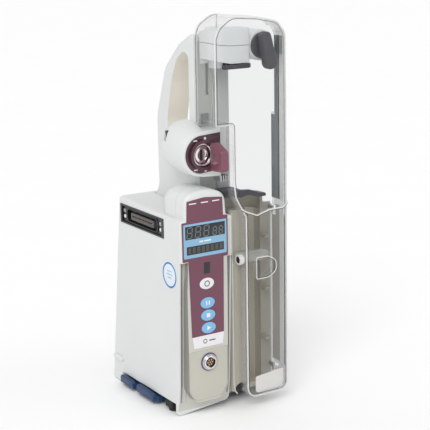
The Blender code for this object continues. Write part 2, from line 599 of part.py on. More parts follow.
def door():
    shell = plate("Y", door_outline(0), (DOOR_FRONT, 12.4 + 8), 2.0, 1)
    cut(shell,
        plate("Y", door_outline(DOOR_WALL), (DOOR_FRONT + DOOR_WALL, 30)),
        box((-5, 130), (12.4, 40), (0, 400)),
        box((60, 130), (-1.6, 40), (-10, 400)),
        box((20, 70), (-12.2, 40), (-10, 282)),
        box((60, 72), (-21.3, 0), (143.5, 160.5)))
    lip = [(x, z + 1.1) for x, z in V_LINE] + [(x, z - 1.1) for x, z in reversed(V_LINE)]
    boss = rounded([(74, 132.3, 2), (74, 154.3, 2), (88, 154.3, 8), (97.8, 149, 7),
                    (97.8, 137.5, 7), (88, 132.3, 8)], 3)
    join(shell, plate("Y", lip, (DOOR_FRONT - 1.4, DOOR_FRONT + 1)),
         plate("Y", boss, (DOOR_FRONT - 5, DOOR_FRONT + 1.2), 1.2))
    cut(shell, plate("Y", [(x + (86 - x) * 0.16, z + (143.3 - z) * 0.16) for x, z in boss],
                     (DOOR_FRONT - 3, DOOR_FRONT + 5)))
    for low, high in HINGE_SPANS:
        join(shell, box((108.6, 112.6), (-6.0, -3.0), (low - 4.4, high - 4.4)),)
    x, y = DOOR_HINGE
    for low, high in HINGE_SPANS:
        cut(shell, cylinder("Z", (x, y), 1.2, (low - 10, high + 10), 16),
            cylinder("Z", (x, y), 6.4, (low - RUN, high + RUN), 24))
    cut(shell, box((106, 120), (-7.0, 20), (288, 376)))
    keep(shell, "clear_door", CLEAR, (x, y, 0))


HINGE_SPANS = ((30, 34), (192, 196))


def hinges():
    """Lugs on the case's front edge that carry the door's two hinge pins."""
    x, y = DOOR_HINGE
    for name, (low, high) in zip(("lower", "upper"), HINGE_SPANS):
        lug = join(box((108.8, 111.2), (-5.6, 1.25), (low, high)),
                   cylinder("Z", (x, y), 1.1, (low - 3.6, high - 1), 16))
        keep(lug, name + "_hinge_lug", STEEL)


rear_case()
base()
release_latch()
for connector_side in ("left", "right"):
    side_connector(connector_side)
front_bezel()
connector_panel()
keypad()
tower_handle()
lock()
drive_head()
jaws()
inner_drive()
cradle()
barrel_clamp()
hinges()
door()
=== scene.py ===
"""Looks for the syringe pump module: camera, light, materials and finely modelled pieces.

Lengths are millimetres in working coordinates (X from the left side of the case, Y from
the seam between case and column, Z from the table); mesh data is stored in metres.
"""
import math

import bmesh
import bpy
from mathutils import Matrix, Vector


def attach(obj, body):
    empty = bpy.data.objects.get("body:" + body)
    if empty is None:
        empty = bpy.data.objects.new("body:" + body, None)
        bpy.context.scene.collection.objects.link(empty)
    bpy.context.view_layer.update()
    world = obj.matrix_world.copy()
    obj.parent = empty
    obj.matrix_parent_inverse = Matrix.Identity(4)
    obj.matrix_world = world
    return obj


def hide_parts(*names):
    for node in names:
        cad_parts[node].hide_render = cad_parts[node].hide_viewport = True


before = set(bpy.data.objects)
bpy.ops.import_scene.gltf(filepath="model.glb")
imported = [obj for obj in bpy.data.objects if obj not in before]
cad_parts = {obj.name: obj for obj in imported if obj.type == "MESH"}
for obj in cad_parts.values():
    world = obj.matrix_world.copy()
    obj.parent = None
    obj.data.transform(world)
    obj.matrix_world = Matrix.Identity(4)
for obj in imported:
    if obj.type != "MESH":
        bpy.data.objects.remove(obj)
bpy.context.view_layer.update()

# ---- driving dimensions, as the solids have them ----------------------------------------
CENTRE_X, CENTRE_Y = 54.85, 51.23
CASE_W, CASE_TOP, CASE_BOTTOM = 114.5, 197.0, 11.0
SEAM, FRONT = 3.0, -13.0
WALL = 3.0
COLUMN_W = 58.0
DOOR_FRONT, DOOR_BACK, DOOR_WALL = -24.0, 12.4, 2.4
SYRINGE, BARREL_R = (86.0, 3.0), 12.5
LOCK, DIAL = (29.5, 256.0), (96.4, 353.2)
TOWER, TOWER_FRONT = (35.0, COLUMN_W), 13.0
POST = (58.6, 75.0, 13.5, 32.0)
HEAD_BOTTOM, HEAD_PARTING, HEAD_TOP = 338.0, 354.5, 370.5
FIT, RUN = 0.1, 0.35
KEYS = {"select": (27.5, 133.3), "pause": (28.0, 114.0), "channel_off": (28.3, 101.6),
        "restart": (28.7, 89.0)}
KEY_WELL = (8.3, 5.85)                   # half width and half height of a key's opening
SOCKET, SOCKET_BORE = (28.7, 54.5), 6.6  # axis along Y
LOCK_BORE = 11.2
LABEL, KNOB = (8.5, 141), (-18.2, 152)   # side label and clamp knob, axes along X
PORT_Y, PORT_Z = (17.8, 102.9), (174.6, 193.9)
RIM_TOP = 156.5


# ---- mesh helpers -------------------------------------------------------------------
def to_metres(x, y, z):
    return Vector(((x - CENTRE_X) / 1000, (y - CENTRE_Y) / 1000, z / 1000))


def placed(name, data):
    obj = bpy.data.objects.new(name, data)
    bpy.context.scene.collection.objects.link(obj)
    return obj


def mesh_of(bm, name):
    """The mesh of bm, which is freed."""
    mesh = bpy.data.meshes.new(name)
    bm.to_mesh(mesh)
    bm.free()
    return mesh


def stored(bm):
    """Turns working millimetres into a closed object in metres, with faces outward."""
    for vert in bm.verts:
        vert.co = to_metres(*vert.co)
    bmesh.ops.remove_doubles(bm, verts=bm.verts, dist=1e-6)
    bmesh.ops.recalc_face_normals(bm, faces=bm.faces)
    if bm.calc_volume(signed=True) < 0:
        bmesh.ops.reverse_faces(bm, faces=bm.faces)
    return placed("tool", mesh_of(bm, "tool"))


def box(x, y, z):
    bm = bmesh.new()
    bmesh.ops.create_cube(bm, size=1.0)
    for vert in bm.verts:
        vert.co = Vector((span[0] + (unit + 0.5) * (span[1] - span[0])
                          for span, unit in zip((x, y, z), vert.co)))
    return stored(bm)


AXES = {"X": Matrix(((0, 0, 1), (1, 0, 0), (0, 1, 0))),
        "Y": Matrix(((1, 0, 0), (0, 0, 1), (0, 1, 0))),
        "Z": Matrix.Identity(3)}


def cylinder(axis, centre, radius, span, sides=64, far_radius=None):
    bm = bmesh.new()
    bmesh.ops.create_cone(bm, cap_ends=True, segments=sides, radius1=radius,
                          radius2=radius if far_radius is None else far_radius,
                          depth=span[1] - span[0])
    middle = (span[0] + span[1]) / 2
    for vert in bm.verts:
        local = Vector((vert.co.x + centre[0], vert.co.y + centre[1], vert.co.z + middle))
        vert.co = AXES[axis] @ local
    return stored(bm)


def turned(axis, centre, profile, sides=64):
    """A solid of revolution from (radius, place along axis) points, closed at both ends."""
    angles = [2 * math.pi * step / sides for step in range(sides)]
    return lofted([[AXES[axis] @ Vector((centre[0] + radius * math.cos(angle),
                                         centre[1] + radius * math.sin(angle), place))
                    for angle in angles] for radius, place in profile])


def lofted(rings):
    """A closed solid through rings of equally many points, with flat ends."""
    bm = bmesh.new()
    loops = [[bm.verts.new(point) for point in ring] for ring in rings]
    count = len(rings[0])
    for first, second in zip(loops, loops[1:]):
        for step in range(count):
            after = (step + 1) % count
            bm.faces.new((first[step], first[after], second[after], second[step]))
    bm.faces.new(loops[0])
    bm.faces.new(loops[-1])
    return stored(bm)


def evaluated(obj):
    """The mesh of an object as its curve or its modifiers make it."""
    seen = obj.evaluated_get(bpy.context.evaluated_depsgraph_get())
    return bpy.data.meshes.new_from_object(seen)


def drawn(curve, places, closed):
    """The mesh of a curve through places; the curve itself is removed."""
    spline = curve.splines.new("POLY")
    spline.points.add(len(places) - 1)
    for point, place in zip(spline.points, places):
        point.co = (*place, 1)
    spline.use_cyclic_u = closed
    holder = placed("outline", curve)
    mesh = evaluated(holder)
    bpy.data.objects.remove(holder)
    bpy.data.curves.remove(curve)
    return mesh


def bead(path, radius, closed=False, sides=4):
    """A round bead along points."""
    curve = bpy.data.curves.new("bead", "CURVE")
    curve.dimensions, curve.bevel_depth, curve.bevel_resolution = "3D", radius / 1000, sides
    curve.use_fill_caps = not closed
    return placed("bead", drawn(curve, [to_metres(*place) for place in path], closed))


def rounded(points, steps=8):
    """An outline from (u, v) or (u, v, corner radius) points, with arcs at the corners."""
    outline = []
    count = len(points)
    for index, point in enumerate(points):
        corner = Vector(point[:2])
        radius = point[2] if len(point) > 2 else 0
        if not radius:
            outline.append(tuple(corner))
            continue
        before = (Vector(points[index - 1][:2]) - corner).normalized()
        after = (Vector(points[(index + 1) % count][:2]) - corner).normalized()
        half = before.angle(after) / 2
        reach = radius / math.tan(half)
        centre = corner + (before + after).normalized() * (radius / math.sin(half))
        start, end = corner + before * reach - centre, corner + after * reach - centre
        sweep = start.angle_signed(end)
        for step in range(steps + 1):
            outline.append(tuple(centre + Matrix.Rotation(-sweep * step / steps, 2) @ start))
    return outline


def pane(u, v, radius, steps=8):
    """A rectangular outline over two spans, with rounded corners."""
    return rounded([(u[0], v[0], radius), (u[0], v[1], radius), (u[1], v[1], radius),
                    (u[1], v[0], radius)], steps)


def arc(centre, radius, start, end, steps=24):
    angles = (math.radians(start + (end - start) * step / steps) for step in range(steps + 1))
    return [(centre[0] + radius * math.cos(a), centre[1] + radius * math.sin(a)) for a in angles]


def ellipse(centre, half_u, half_v, steps=56):
    return [(centre[0] + half_u * math.cos(2 * math.pi * step / steps),
             centre[1] + half_v * math.sin(2 * math.pi * step / steps)) for step in range(steps)]


def grown(outline, gap):
    """The outline stretched about its middle, so that each side moves out by gap."""
    mid_u = (min(u for u, _ in outline) + max(u for u, _ in outline)) / 2
    mid_v = (min(v for _, v in outline) + max(v for _, v in outline)) / 2
    half_u = max(u for u, _ in outline) - mid_u
    half_v = max(v for _, v in outline) - mid_v
    return [(mid_u + (u - mid_u) * (1 + gap / half_u), mid_v + (v - mid_v) * (1 + gap / half_v))
            for u, v in outline]


def plate(axis, outline, span, edge=0.0, edge_steps=3):
    """A flat filled curve extruded along an axis, with its rims rounded by edge."""
    curve = bpy.data.curves.new("outline", "CURVE")
    curve.dimensions, curve.fill_mode = "2D", "BOTH"
    curve.extrude = (span[1] - span[0]) / 2 - edge
    curve.bevel_depth, curve.offset = edge, -edge
    curve.bevel_resolution = edge_steps
    mesh = drawn(curve, [(u, v, 0) for u, v in outline], True)
    bm = bmesh.new()
    bm.from_mesh(mesh)
    bpy.data.meshes.remove(mesh)
    bmesh.ops.remove_doubles(bm, verts=bm.verts, dist=1e-3)
    middle = (span[0] + span[1]) / 2
    for vert in bm.verts:
        vert.co = AXES[axis] @ Vector((vert.co.x, vert.co.y, vert.co.z + middle))
    return stored(bm)


def boolean(obj, operation, tools):
    """Applies each tool at once and removes it."""
    for tool in tools:
        made = obj.modifiers.new(operation, "BOOLEAN")
        made.operation, made.object, made.solver = operation, tool, "EXACT"
        apply_modifiers(obj)
        bpy.data.objects.remove(tool)
    return obj


def apply_modifiers(obj):
    mesh = evaluated(obj)
    obj.modifiers.clear()
    old, obj.data = obj.data, mesh
    bpy.data.meshes.remove(old)


def cut(obj, *tools):
    return boolean(obj, "DIFFERENCE", tools)


def join(obj, *tools):
    return boolean(obj, "UNION", tools)


def soften(obj, width, segments=3, angle=40):
    made = obj.modifiers.new("soften", "BEVEL")
    made.width, made.segments = width / 1000, segments
    made.limit_method, made.angle_limit = "ANGLE", math.radians(angle)
    made.use_clamp_overlap = True
    apply_modifiers(obj)
    return obj


def merged(objects):
    """Separate loose shells, such as printed marks, kept in one object."""
    bm = bmesh.new()
    for obj in objects:
        bm.from_mesh(obj.data)
        bpy.data.objects.remove(obj)
    return placed("marks", mesh_of(bm, "marks"))


def show(obj, name, finish, body="pump", nodes=(), sharp=32):
    """Names a piece, finishes it, lets it ride on its body and stand for CAD nodes."""
    obj.name = obj.data.name = name
    obj.data.materials.clear()
    obj.data.materials.append(finish)
    for face in obj.data.polygons:
        face.use_smooth = True
    obj.data.set_sharp_from_angle(angle=math.radians(sharp))
    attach(obj, body)
    if nodes:
        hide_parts(*nodes)
    return obj


def recolour(obj, finishes, choose):
    """Adds finishes; choose(x, y, z, normal) says which a face has, 0 being the first."""
    for finish in finishes:
        obj.data.materials.append(finish)
    for face in obj.data.polygons:
        x, y, z = (value * 1000 for value in face.center)
        face.material_index = choose(x + CENTRE_X, y + CENTRE_Y, z, face.normal)


# ---- materials ----------------------------------------------------------------------
def node(tree, kind, **inputs):
    made = tree.nodes.new(kind)
    for name, value in inputs.items():
        made.inputs[name.replace("_", " ")].default_value = value
    return made


def plastic(name, colour, roughness=0.42, grain=0.05, tint=0.04, scale=900.0, coat=0.0,
            metallic=0.0):
    """Moulded plastic: faint mottling, a fine texture in the gloss and in the surface."""
    made = bpy.data.materials.new(name)
    made.use_nodes = True
    tree = made.node_tree
    shader = tree.nodes["Principled BSDF"]
    shader.inputs["Metallic"].default_value = metallic
    shader.inputs["Coat Weight"].default_value = coat
    place = tree.nodes.new("ShaderNodeTexCoord")
    broad = node(tree, "ShaderNodeTexNoise", Scale=9.0, Detail=3.0)
    fine = node(tree, "ShaderNodeTexNoise", Scale=scale, Detail=2.0)
    for noise in (broad, fine):
        tree.links.new(place.outputs["Object"], noise.inputs["Vector"])
    tone = tree.nodes.new("ShaderNodeValToRGB")
    low = tuple(max(0.0, channel * (1 - tint)) for channel in colour)
    high = tuple(min(1.0, channel * (1 + tint)) for channel in colour)
    tone.color_ramp.elements[0].position, tone.color_ramp.elements[1].position = 0.35, 0.65
    tone.color_ramp.elements[0].color = (*low, 1)
    tone.color_ramp.elements[1].color = (*high, 1)
    tree.links.new(broad.outputs["Fac"], tone.inputs["Fac"])
    tree.links.new(tone.outputs["Color"], shader.inputs["Base Color"])
    gloss = node(tree, "ShaderNodeMapRange", To_Min=roughness * 0.85, To_Max=roughness * 1.15)
    tree.links.new(fine.outputs["Fac"], gloss.inputs["Value"])
    tree.links.new(gloss.outputs["Result"], shader.inputs["Roughness"])
    bump = node(tree, "ShaderNodeBump", Strength=grain, Distance=0.0004)
    tree.links.new(fine.outputs["Fac"], bump.inputs["Height"])
    tree.links.new(bump.outputs["Normal"], shader.inputs["Normal"])
    return made


def clear_plastic(name, tint, least, most, haze=0.04, filtered=(0.93, 0.935, 0.935)):
    """Thin clear moulding: nearly invisible face-on, brighter and greyer at a glance."""
    made = bpy.data.materials.new(name)
    made.use_nodes = True
    tree = made.node_tree
    shader = tree.nodes["Principled BSDF"]
    shader.inputs["Base Color"].default_value = (*tint, 1)
    shader.inputs["Roughness"].default_value = 0.06
    shader.inputs["Coat Weight"].default_value = 0.6
    through = node(tree, "ShaderNodeBsdfTransparent", Color=(*filtered, 1))
    facing = node(tree, "ShaderNodeLayerWeight", Blend=0.32)
    place = tree.nodes.new("ShaderNodeTexCoord")
    noise = node(tree, "ShaderNodeTexNoise", Scale=30.0, Detail=2.0)
    tree.links.new(place.outputs["Object"], noise.inputs["Vector"])
    smear = node(tree, "ShaderNodeMapRange", To_Min=0.0, To_Max=haze)
    tree.links.new(noise.outputs["Fac"], smear.inputs["Value"])
    amount = node(tree, "ShaderNodeMapRange", From_Min=0.2, To_Min=least, To_Max=most)
    tree.links.new(facing.outputs["Facing"], amount.inputs["Value"])
    total = tree.nodes.new("ShaderNodeMath")
    tree.links.new(amount.outputs["Result"], total.inputs[0])
    tree.links.new(smear.outputs["Result"], total.inputs[1])
    mix = tree.nodes.new("ShaderNodeMixShader")
    tree.links.new(total.outputs["Value"], mix.inputs["Fac"])
    tree.links.new(through.outputs["BSDF"], mix.inputs[1])
    tree.links.new(shader.outputs["BSDF"], mix.inputs[2])
    tree.links.new(mix.outputs["Shader"], tree.nodes["Material Output"].inputs["Surface"])
    return made


WHITE = plastic("shell_white", (0.70, 0.72, 0.715), 0.38, 0.06, tint=0.015)
BEIGE = plastic("cradle_beige", (0.36, 0.335, 0.28), 0.42, 0.05)
PANEL = plastic("panel_beige", (0.50, 0.49, 0.42), 0.40, 0.05)
# painted light: cream for the warm light inside the white handle's opening
OPENING_WARM_LIGHT = plastic("handle_opening_painted_warm_light", (0.82, 0.78, 0.70), 0.5, 0.05)
MAROON = plastic("film_maroon", (0.155, 0.048, 0.080), 0.36, 0.02, coat=0.1)
MAROON_SOLID = plastic("moulded_maroon", (0.19, 0.065, 0.095), 0.34, 0.03, coat=0.1)
BADGE = plastic("badge_maroon", (0.07, 0.024, 0.038), 0.32, 0.03, coat=0.1)
BLUE = plastic("film_blue", (0.24, 0.44, 0.62), 0.38, 0.02, tint=0.02)
KEY_BLUE = plastic("key_blue", (0.21, 0.46, 0.72), 0.42, 0.04)
KEY_WHITE = plastic("key_white", (0.78, 0.76, 0.78), 0.42, 0.04)
PRINT = plastic("print_white", (0.80, 0.80, 0.80), 0.5, 0.02)
PRINT_DARK = plastic("print_dark", (0.10, 0.09, 0.10), 0.5, 0.02)
WINDOW = plastic("smoked_window", (0.008, 0.012, 0.017), 0.16, 0.01, coat=0.2)
SEGMENT = plastic("unlit_segment", (0.14, 0.17, 0.165), 0.35, 0.01)
CELL = plastic("unlit_cell", (0.045, 0.035, 0.020), 0.3, 0.01)
GREY = plastic("grip_grey", (0.080, 0.078, 0.088), 0.42, 0.08)
BLACK = plastic("housing_black", (0.014, 0.014, 0.014), 0.32, 0.05, tint=0.1)
RUBBER = plastic("foot_rubber", (0.018, 0.018, 0.018), 0.75, 0.15, tint=0.1)
LATCH_BLUE = plastic("latch_blue", (0.014, 0.045, 0.12), 0.4, 0.05)
CHROME = plastic("polished_chrome", (0.82, 0.81, 0.80), 0.12, 0.01, metallic=1.0)
STEEL = plastic("machined_steel", (0.55, 0.55, 0.57), 0.3, 0.05, metallic=1.0)
BRASS = plastic("machined_brass", (0.62, 0.44, 0.18), 0.3, 0.04, metallic=1.0)
GOLD = plastic("contact_gold", (0.85, 0.56, 0.20), 0.25, 0.02, metallic=1.0)
BOARD = plastic("solder_mask", (0.02, 0.15, 0.06), 0.45, 0.1)
RING_BLUE = plastic("label_ring_blue", (0.02, 0.19, 0.52), 0.45, 0.02)
NAVY = plastic("socket_navy", (0.05, 0.04, 0.16), 0.45, 0.02)
TAN = plastic("pin_tan", (0.55, 0.36, 0.20), 0.45, 0.02)
PALE_BLUE = plastic("label_pale", (0.74, 0.80, 0.86), 0.42, 0.04)
CLEAR = clear_plastic("door_clear", (0.80, 0.80, 0.79), 0.0, 0.70, 0.0)
# painted shade: a darker clear finish for the door's right side
DOOR_SIDE_SHADE = clear_plastic("door_side_painted_shade", (0.30, 0.30, 0.29), 0.10, 0.80, 0.03)
# painted highlight: a near-white clear finish for bright edge lines
HIGHLIGHT_CLEAR = clear_plastic("clear_painted_highlight", (0.95, 0.95, 0.93), 0.55, 0.98)
# painted reflections, shade and highlight for the strips on the door's side wall
GREY_REFLECTION_BAND = clear_plastic("painted_reflection_grey", (0.27, 0.295, 0.325), 0.62, 0.9)
DARK_SHADE_BAND = clear_plastic("painted_shade_dark", (0.06, 0.06, 0.065), 0.75, 0.95)
HIGHLIGHT_BAND = clear_plastic("painted_highlight_bright", (1.0, 1.0, 0.99), 0.88, 0.95)
BROWN_REFLECTION_BAND = clear_plastic("painted_reflection_brown", (0.58, 0.555, 0.53), 0.72, 0.9)
# painted highlight: a near-white clear finish for the door's lower corner
CORNER_HIGHLIGHT = clear_plastic("door_corner", (1.0, 0.97, 0.94), 0.88, 0.95)
# painted shade: a dark clear finish for thin dark lines along the door's edges
PAINTED_EDGE_SHADE = clear_plastic("door_edge_shade", (0.16, 0.165, 0.17), 0.45, 0.8)
CLAMP = clear_plastic("clamp_clear", (0.62, 0.61, 0.58), 0.45, 0.95)
# painted shade: a darker copy of the column grey for the channel flanks
COLUMN_PAINTED_SHADE = plastic("column_flank_painted_shade", (0.30, 0.295, 0.28), 0.45, 0.05)
COLUMN_GREY = plastic("column_grey", (0.56, 0.555, 0.51), 0.42, 0.05)
# painted shade: grey for the white tower's front, which lies in shadow
TOWER_FRONT_PAINTED_SHADE = plastic("tower_front_painted_shade", (0.42, 0.43, 0.40), 0.42, 0.05)
POST_GREY = plastic("post_grey", (0.56, 0.57, 0.565), 0.38, 0.05)
# painted light: lighter copies of the cradle beige for its right part
TROUGH_PAINTED_LIGHT = plastic("trough_beige_painted_light", (0.62, 0.585, 0.51), 0.42, 0.05)
FLANK_PAINTED_LIGHT = plastic("flank_beige_painted_light", (0.44, 0.415, 0.365), 0.42, 0.05)
HEAD_WHITE = plastic("head_white", (0.84, 0.85, 0.85), 0.38, 0.06, tint=0.015)
LEVER_GREY = plastic("lever_grey", (0.118, 0.116, 0.128), 0.42, 0.08)

CAD_FINISH = {
    WHITE: ["rear_case"],
    BEIGE: ["gripper_bracket"],
    GREY: ["base_plate", "tower_slot_seal", "tower_pad", "drive_motor", "right_contact_block"],
    BLACK: ["right_connector_housing", "plunger_sensor"],
    RUBBER: ["left_foot", "right_foot"],
    STEEL: ["latch_keeper", "lead_screw", "drive_nut", "lower_hinge_lug", "upper_hinge_lug"],
    BRASS: ["screw_bearing"],
    BOARD: ["main_board", "display_board"],
}


# ---- case ---------------------------------------------------------------------------
def hump(left, right, foot, span, edge):
    outline = rounded([(left, foot), (left, 219.5, 12), (27, 226.5, 40), (right, 217, 12),
                       (right, foot)], 10)
    return plate("Y", outline, span, edge, 5)


def rear_case():
    profile = rounded([(-6, CASE_BOTTOM), (-6, CASE_TOP), (24, CASE_TOP, 60),
                       (105.9, 201.5, 5), (132.3, 0, 3),
                       (114, 0, 3), (111.5, CASE_BOTTOM, 1)], 6)
    inner = rounded([(-9, CASE_BOTTOM + WALL), (-9, CASE_TOP - WALL),
                     (103.3, CASE_TOP - WALL), (126.5, CASE_BOTTOM + WALL)], 2)
    shell = plate("X", profile, (0, CASE_W), 2.0, 4)
    join(shell, hump(4.5, 54, 190, (-9, 31), 11.5))
    cut(shell, plate("X", inner, (WALL, CASE_W - WALL)),
        box((-5, 120), (-10, SEAM + FIT), (0, 240)),
        box((-2, WALL + 1), PORT_Y, PORT_Z),
        box((CASE_W - WALL - 1, CASE_W + 2), PORT_Y, PORT_Z),
        box((TOWER[0] - FIT, TOWER[1] + 0.25), (TOWER_FRONT - FIT, 98.2),
            (CASE_TOP - 0.6, 240)),
        box((POST[0] - RUN, POST[1] + RUN), (POST[2] - RUN, POST[3] + RUN), (185, 240)),
        cylinder("Z", SYRINGE, BARREL_R + 3.2, (185, 240)))
    show(shell, "rear_case_shell", WHITE, nodes=["rear_case"])


def left_connector():
    """Recessed black housing with a contact block, guide posts and two screws."""
    housing = box((-0.6, 8), (17.9, 102.8), (174.7, 193.8))
    cut(housing, plate("X", pane((21.5, 99.8), (176.2, 192.3), 1), (-2, 1.2)),
        plate("X", pane((31, 90), (177.6, 190.8), 4), (-2, 4.5)))
    for y in (25.5, 96):
        cut(housing, cylinder("X", (y, 187.5), 2.1, (-2, 5), 32))
    lip = plate("X", pane((29.5, 91.5), (176.9, 191.6), 5), (0.2, 2.0), 0.4)
    cut(lip, plate("X", pane((31.2, 89.8), (178, 190.4), 4), (-2, 5)))
    show(join(housing, lip), "left_connector_shell", BLACK,
         nodes=["left_connector_housing"])
    block = cut(plate("X", pane((38, 83), (180.4, 187.6), 1.5), (0.6, 4.4), 0.4),
                box((-1, 2.6), (41, 80), (183, 185)))
    show(block, "left_contact_strip", GREY, nodes=["left_contact_block"])
    pins = [box((1.0, 2.7), (y - 0.45, y + 0.45), (183.1, 183.7))
            for y in (42.5 + 2.54 * step for step in range(15))]
    show(merged(pins), "left_contact_pins", GOLD)
    posts = [turned("X", (y, 181.5), [(1.9, 3.8), (1.9, 1.2), (1.5, 0.6), (0.6, 0.5)], 32)
             for y in (25.5, 96)]
    show(merged(posts), "left_light_guides", KEY_WHITE)
    for place, y in (("front", 25.5), ("rear", 96)):
        screw = turned("X", (y, 187.5), [(2.0, 4.9), (2.0, 0.8), (1.6, 0.4)], 32)
        cut(screw, box((-1, 0.9), (y - 2.5, y + 2.5), (187.2, 187.8)),
            box((-1, 0.9), (y - 0.3, y + 0.3), (185, 190)))
        show(screw, "left_fixing_" + place, STEEL, nodes=["left_screw_" + place])


def release_latch():
    latch = box((-1.5, 9), (36, 107), (3.6, 8.4))
    for low, high in ((81, 106.9), (39, 73)):
        pad = rounded([(low, 3.6), (low, 10.6, 3), (high, 12.0, 3), (high, 3.6)])
        join(latch, plate("X", pad, (-5.4, -0.4), 1.0))
    soften(latch, 0.5, 2)
    show(latch, "release_latch_bar", LATCH_BLUE, "release_latch", ["release_latch"])


# ---- display column -----------------------------------------------------------------
FRAME_OUTLINE = pane((2.9, 50.5), (160.5, 193.5), 1, 4)
WINDOWS = {"upper": [(4.8, 178.7), (4.8, 191.3), (48.7, 191.3), (48.7, 178.7)],
           "lower": [(6.2, 163.8), (6.2, 171.8), (47.4, 171.8), (47.4, 163.8)]}
IR_WINDOW = [(24.7, 143.2), (24.7, 154), (31.3, 154), (31.3, 143.2)]


def panel_outline(gap=0.0):
    return rounded([(6.6 - gap, 67.2 + gap), (50.0 + gap, 67.2 + gap), (49.6 + gap, 28 - gap, 10),
                    (43, 16.6 - gap, 8), (14, 16.6 - gap, 8), (7.0 - gap, 28 - gap, 10)], 8)


# (height, front) of the column's rim
RIM_LINE = [(RIM_TOP, -9.6), (110, -7.5), (65, -6.0), (30, -4.5), (14, -2.6), (5, -1.0), (0, 0.0)]


def island(span):
    """The raised middle of the column, which the channels leave standing."""
    outline = rounded([(-8, RIM_TOP), (7.8, RIM_TOP), (6.3, 128, 20), (6.4, 27, 14),
                       (14, 15.2, 9), (43, 15.2, 9), (50.2, 27, 14), (51.2, 128, 20),
                       (51.2, RIM_TOP), (66, RIM_TOP), (66, 240), (-8, 240)], 12)
    return plate("Y", outline, span)


def gutter(outer, inner):
    """A concave channel between the column's outer rim and the island."""
    step = 1 if inner > outer else -1
    rings = []
    for (z, front), depth in zip(RIM_LINE[:5], (2.6, 2.6, 2.6, 2.2, 0.4)):
        floor = [(outer + step * (0.3 + 4.2 * t), front + depth * math.sin(math.pi * t * 0.52))
                 for t in (0, 0.08, 0.18, 0.32, 0.5, 0.75, 1.0)]
        rings.append([(x, y, z) for x, y in [
            (outer, front - 6), (outer, front), *floor,
            (inner + step * 1.5, front + depth * 0.8), (inner + step * 1.5, front - 6)]])
    return lofted(rings)


def column_finish(x, y, z, normal):
    """Grey on the column's face and channel floors, and a darker grey painted on the channel flanks
    as shade.
    """
    if not (z < RIM_TOP - 0.1 and 1.2 < x < 56.9):
        return 0
    if FRONT - 1 < y < FRONT + 0.3:
        return 1
    if y < FRONT + 12 and abs(normal.z) < 0.9:
        return 2 if abs(normal.x) > 0.35 else 1
    return 0


def front_bezel():
    body = plate("Y", rounded([(0, 0, 3.3), (0, 196.8), (4.8, 197.5, 0.5), (4.8, 219.5, 12),
                               (27, 226.5, 40), (49.8, 218.5, 12), (51.5, 197.5, 2), (58, 195),
                               (58, 6, 5)], 10), (FRONT, SEAM + 8), 3.0, 5)
    slope = [(y, z) for z, y in RIM_LINE] + [(-30, -6), (-30, RIM_TOP)]
    channels = cut(join(plate("X", slope, (-8, 66)), gutter(1.3, 6.6), gutter(56.8, 50.6)),
                   island((-40, 20)))
    cut(body, channels, box((-5, 65), (SEAM, SEAM + 20), (-5, 240)),
        box((3.5, 54.5), (-0.6, SEAM + 5), (20, 150)),
        box((3.5, 54.5), (-4.4, SEAM + 5), (158.5, 193)),
        box((9.5, 48.5), (-9, SEAM + 5), (72, 193)),
        plate("Y", panel_outline(FIT), (FRONT - 3, FRONT + 2.2)))
    for centre in KEYS.values():
        cut(body, plate("Y", ellipse(centre, *KEY_WELL), (FRONT - 1, FRONT + 2.4)))
    show(body, "column_shell", WHITE, nodes=["front_bezel"])
    # paints shade on the channel flanks, which face sideways
    recolour(body, [COLUMN_GREY, COLUMN_PAINTED_SHADE], column_finish)


def connector():
    panel = plate("Y", panel_outline(), (FRONT, FRONT + 2.1), 0.5)
    cut(panel, cylinder("Y", SOCKET, SOCKET_BORE, (FRONT - 2, FRONT + 4)))
    show(panel, "socket_panel", PANEL, nodes=["connector_panel"])
    ring = cut(turned("Y", SOCKET, [(8.3, FRONT - 0.05), (8.3, FRONT - 1.0), (8.0, FRONT - 1.9),
                                    (7.5, FRONT - 2.4)]),
               cylinder("Y", SOCKET, SOCKET_BORE, (FRONT - 4, FRONT + 1)))
    show(ring, "socket_ring", STEEL, nodes=["connector_ring"])
    trim = cut(cylinder("Y", SOCKET, 9.0, (FRONT - 0.5, FRONT - 0.05)),
               cylinder("Y", SOCKET, 8.35, (FRONT - 3, FRONT + 1)))
    show(trim, "socket_trim", NAVY)
    shell = cut(turned("Y", SOCKET, [(6.5, FRONT + 2), (6.5, FRONT - 2.8), (6.1, FRONT - 3.2)]),
                cylinder("Y", SOCKET, 5.4, (FRONT - 4, FRONT + 0.5)))
    show(shell, "socket_shell", CHROME, nodes=["connector_shell"])
    show(turned("Y", SOCKET, [(4.6, FRONT + 0.4), (4.6, FRONT - 1.3), (4.3, FRONT - 1.6)]),
         "socket_insert", BLACK, nodes=["connector_insert"])
    pins = [cylinder("Y", spot, 0.75, (FRONT - 2.3, FRONT - 1.5), 16)
            for spot in [SOCKET] + arc(SOCKET, 2.6, 0, 300, 5)]
    show(merged(pins), "socket_pins", TAN)


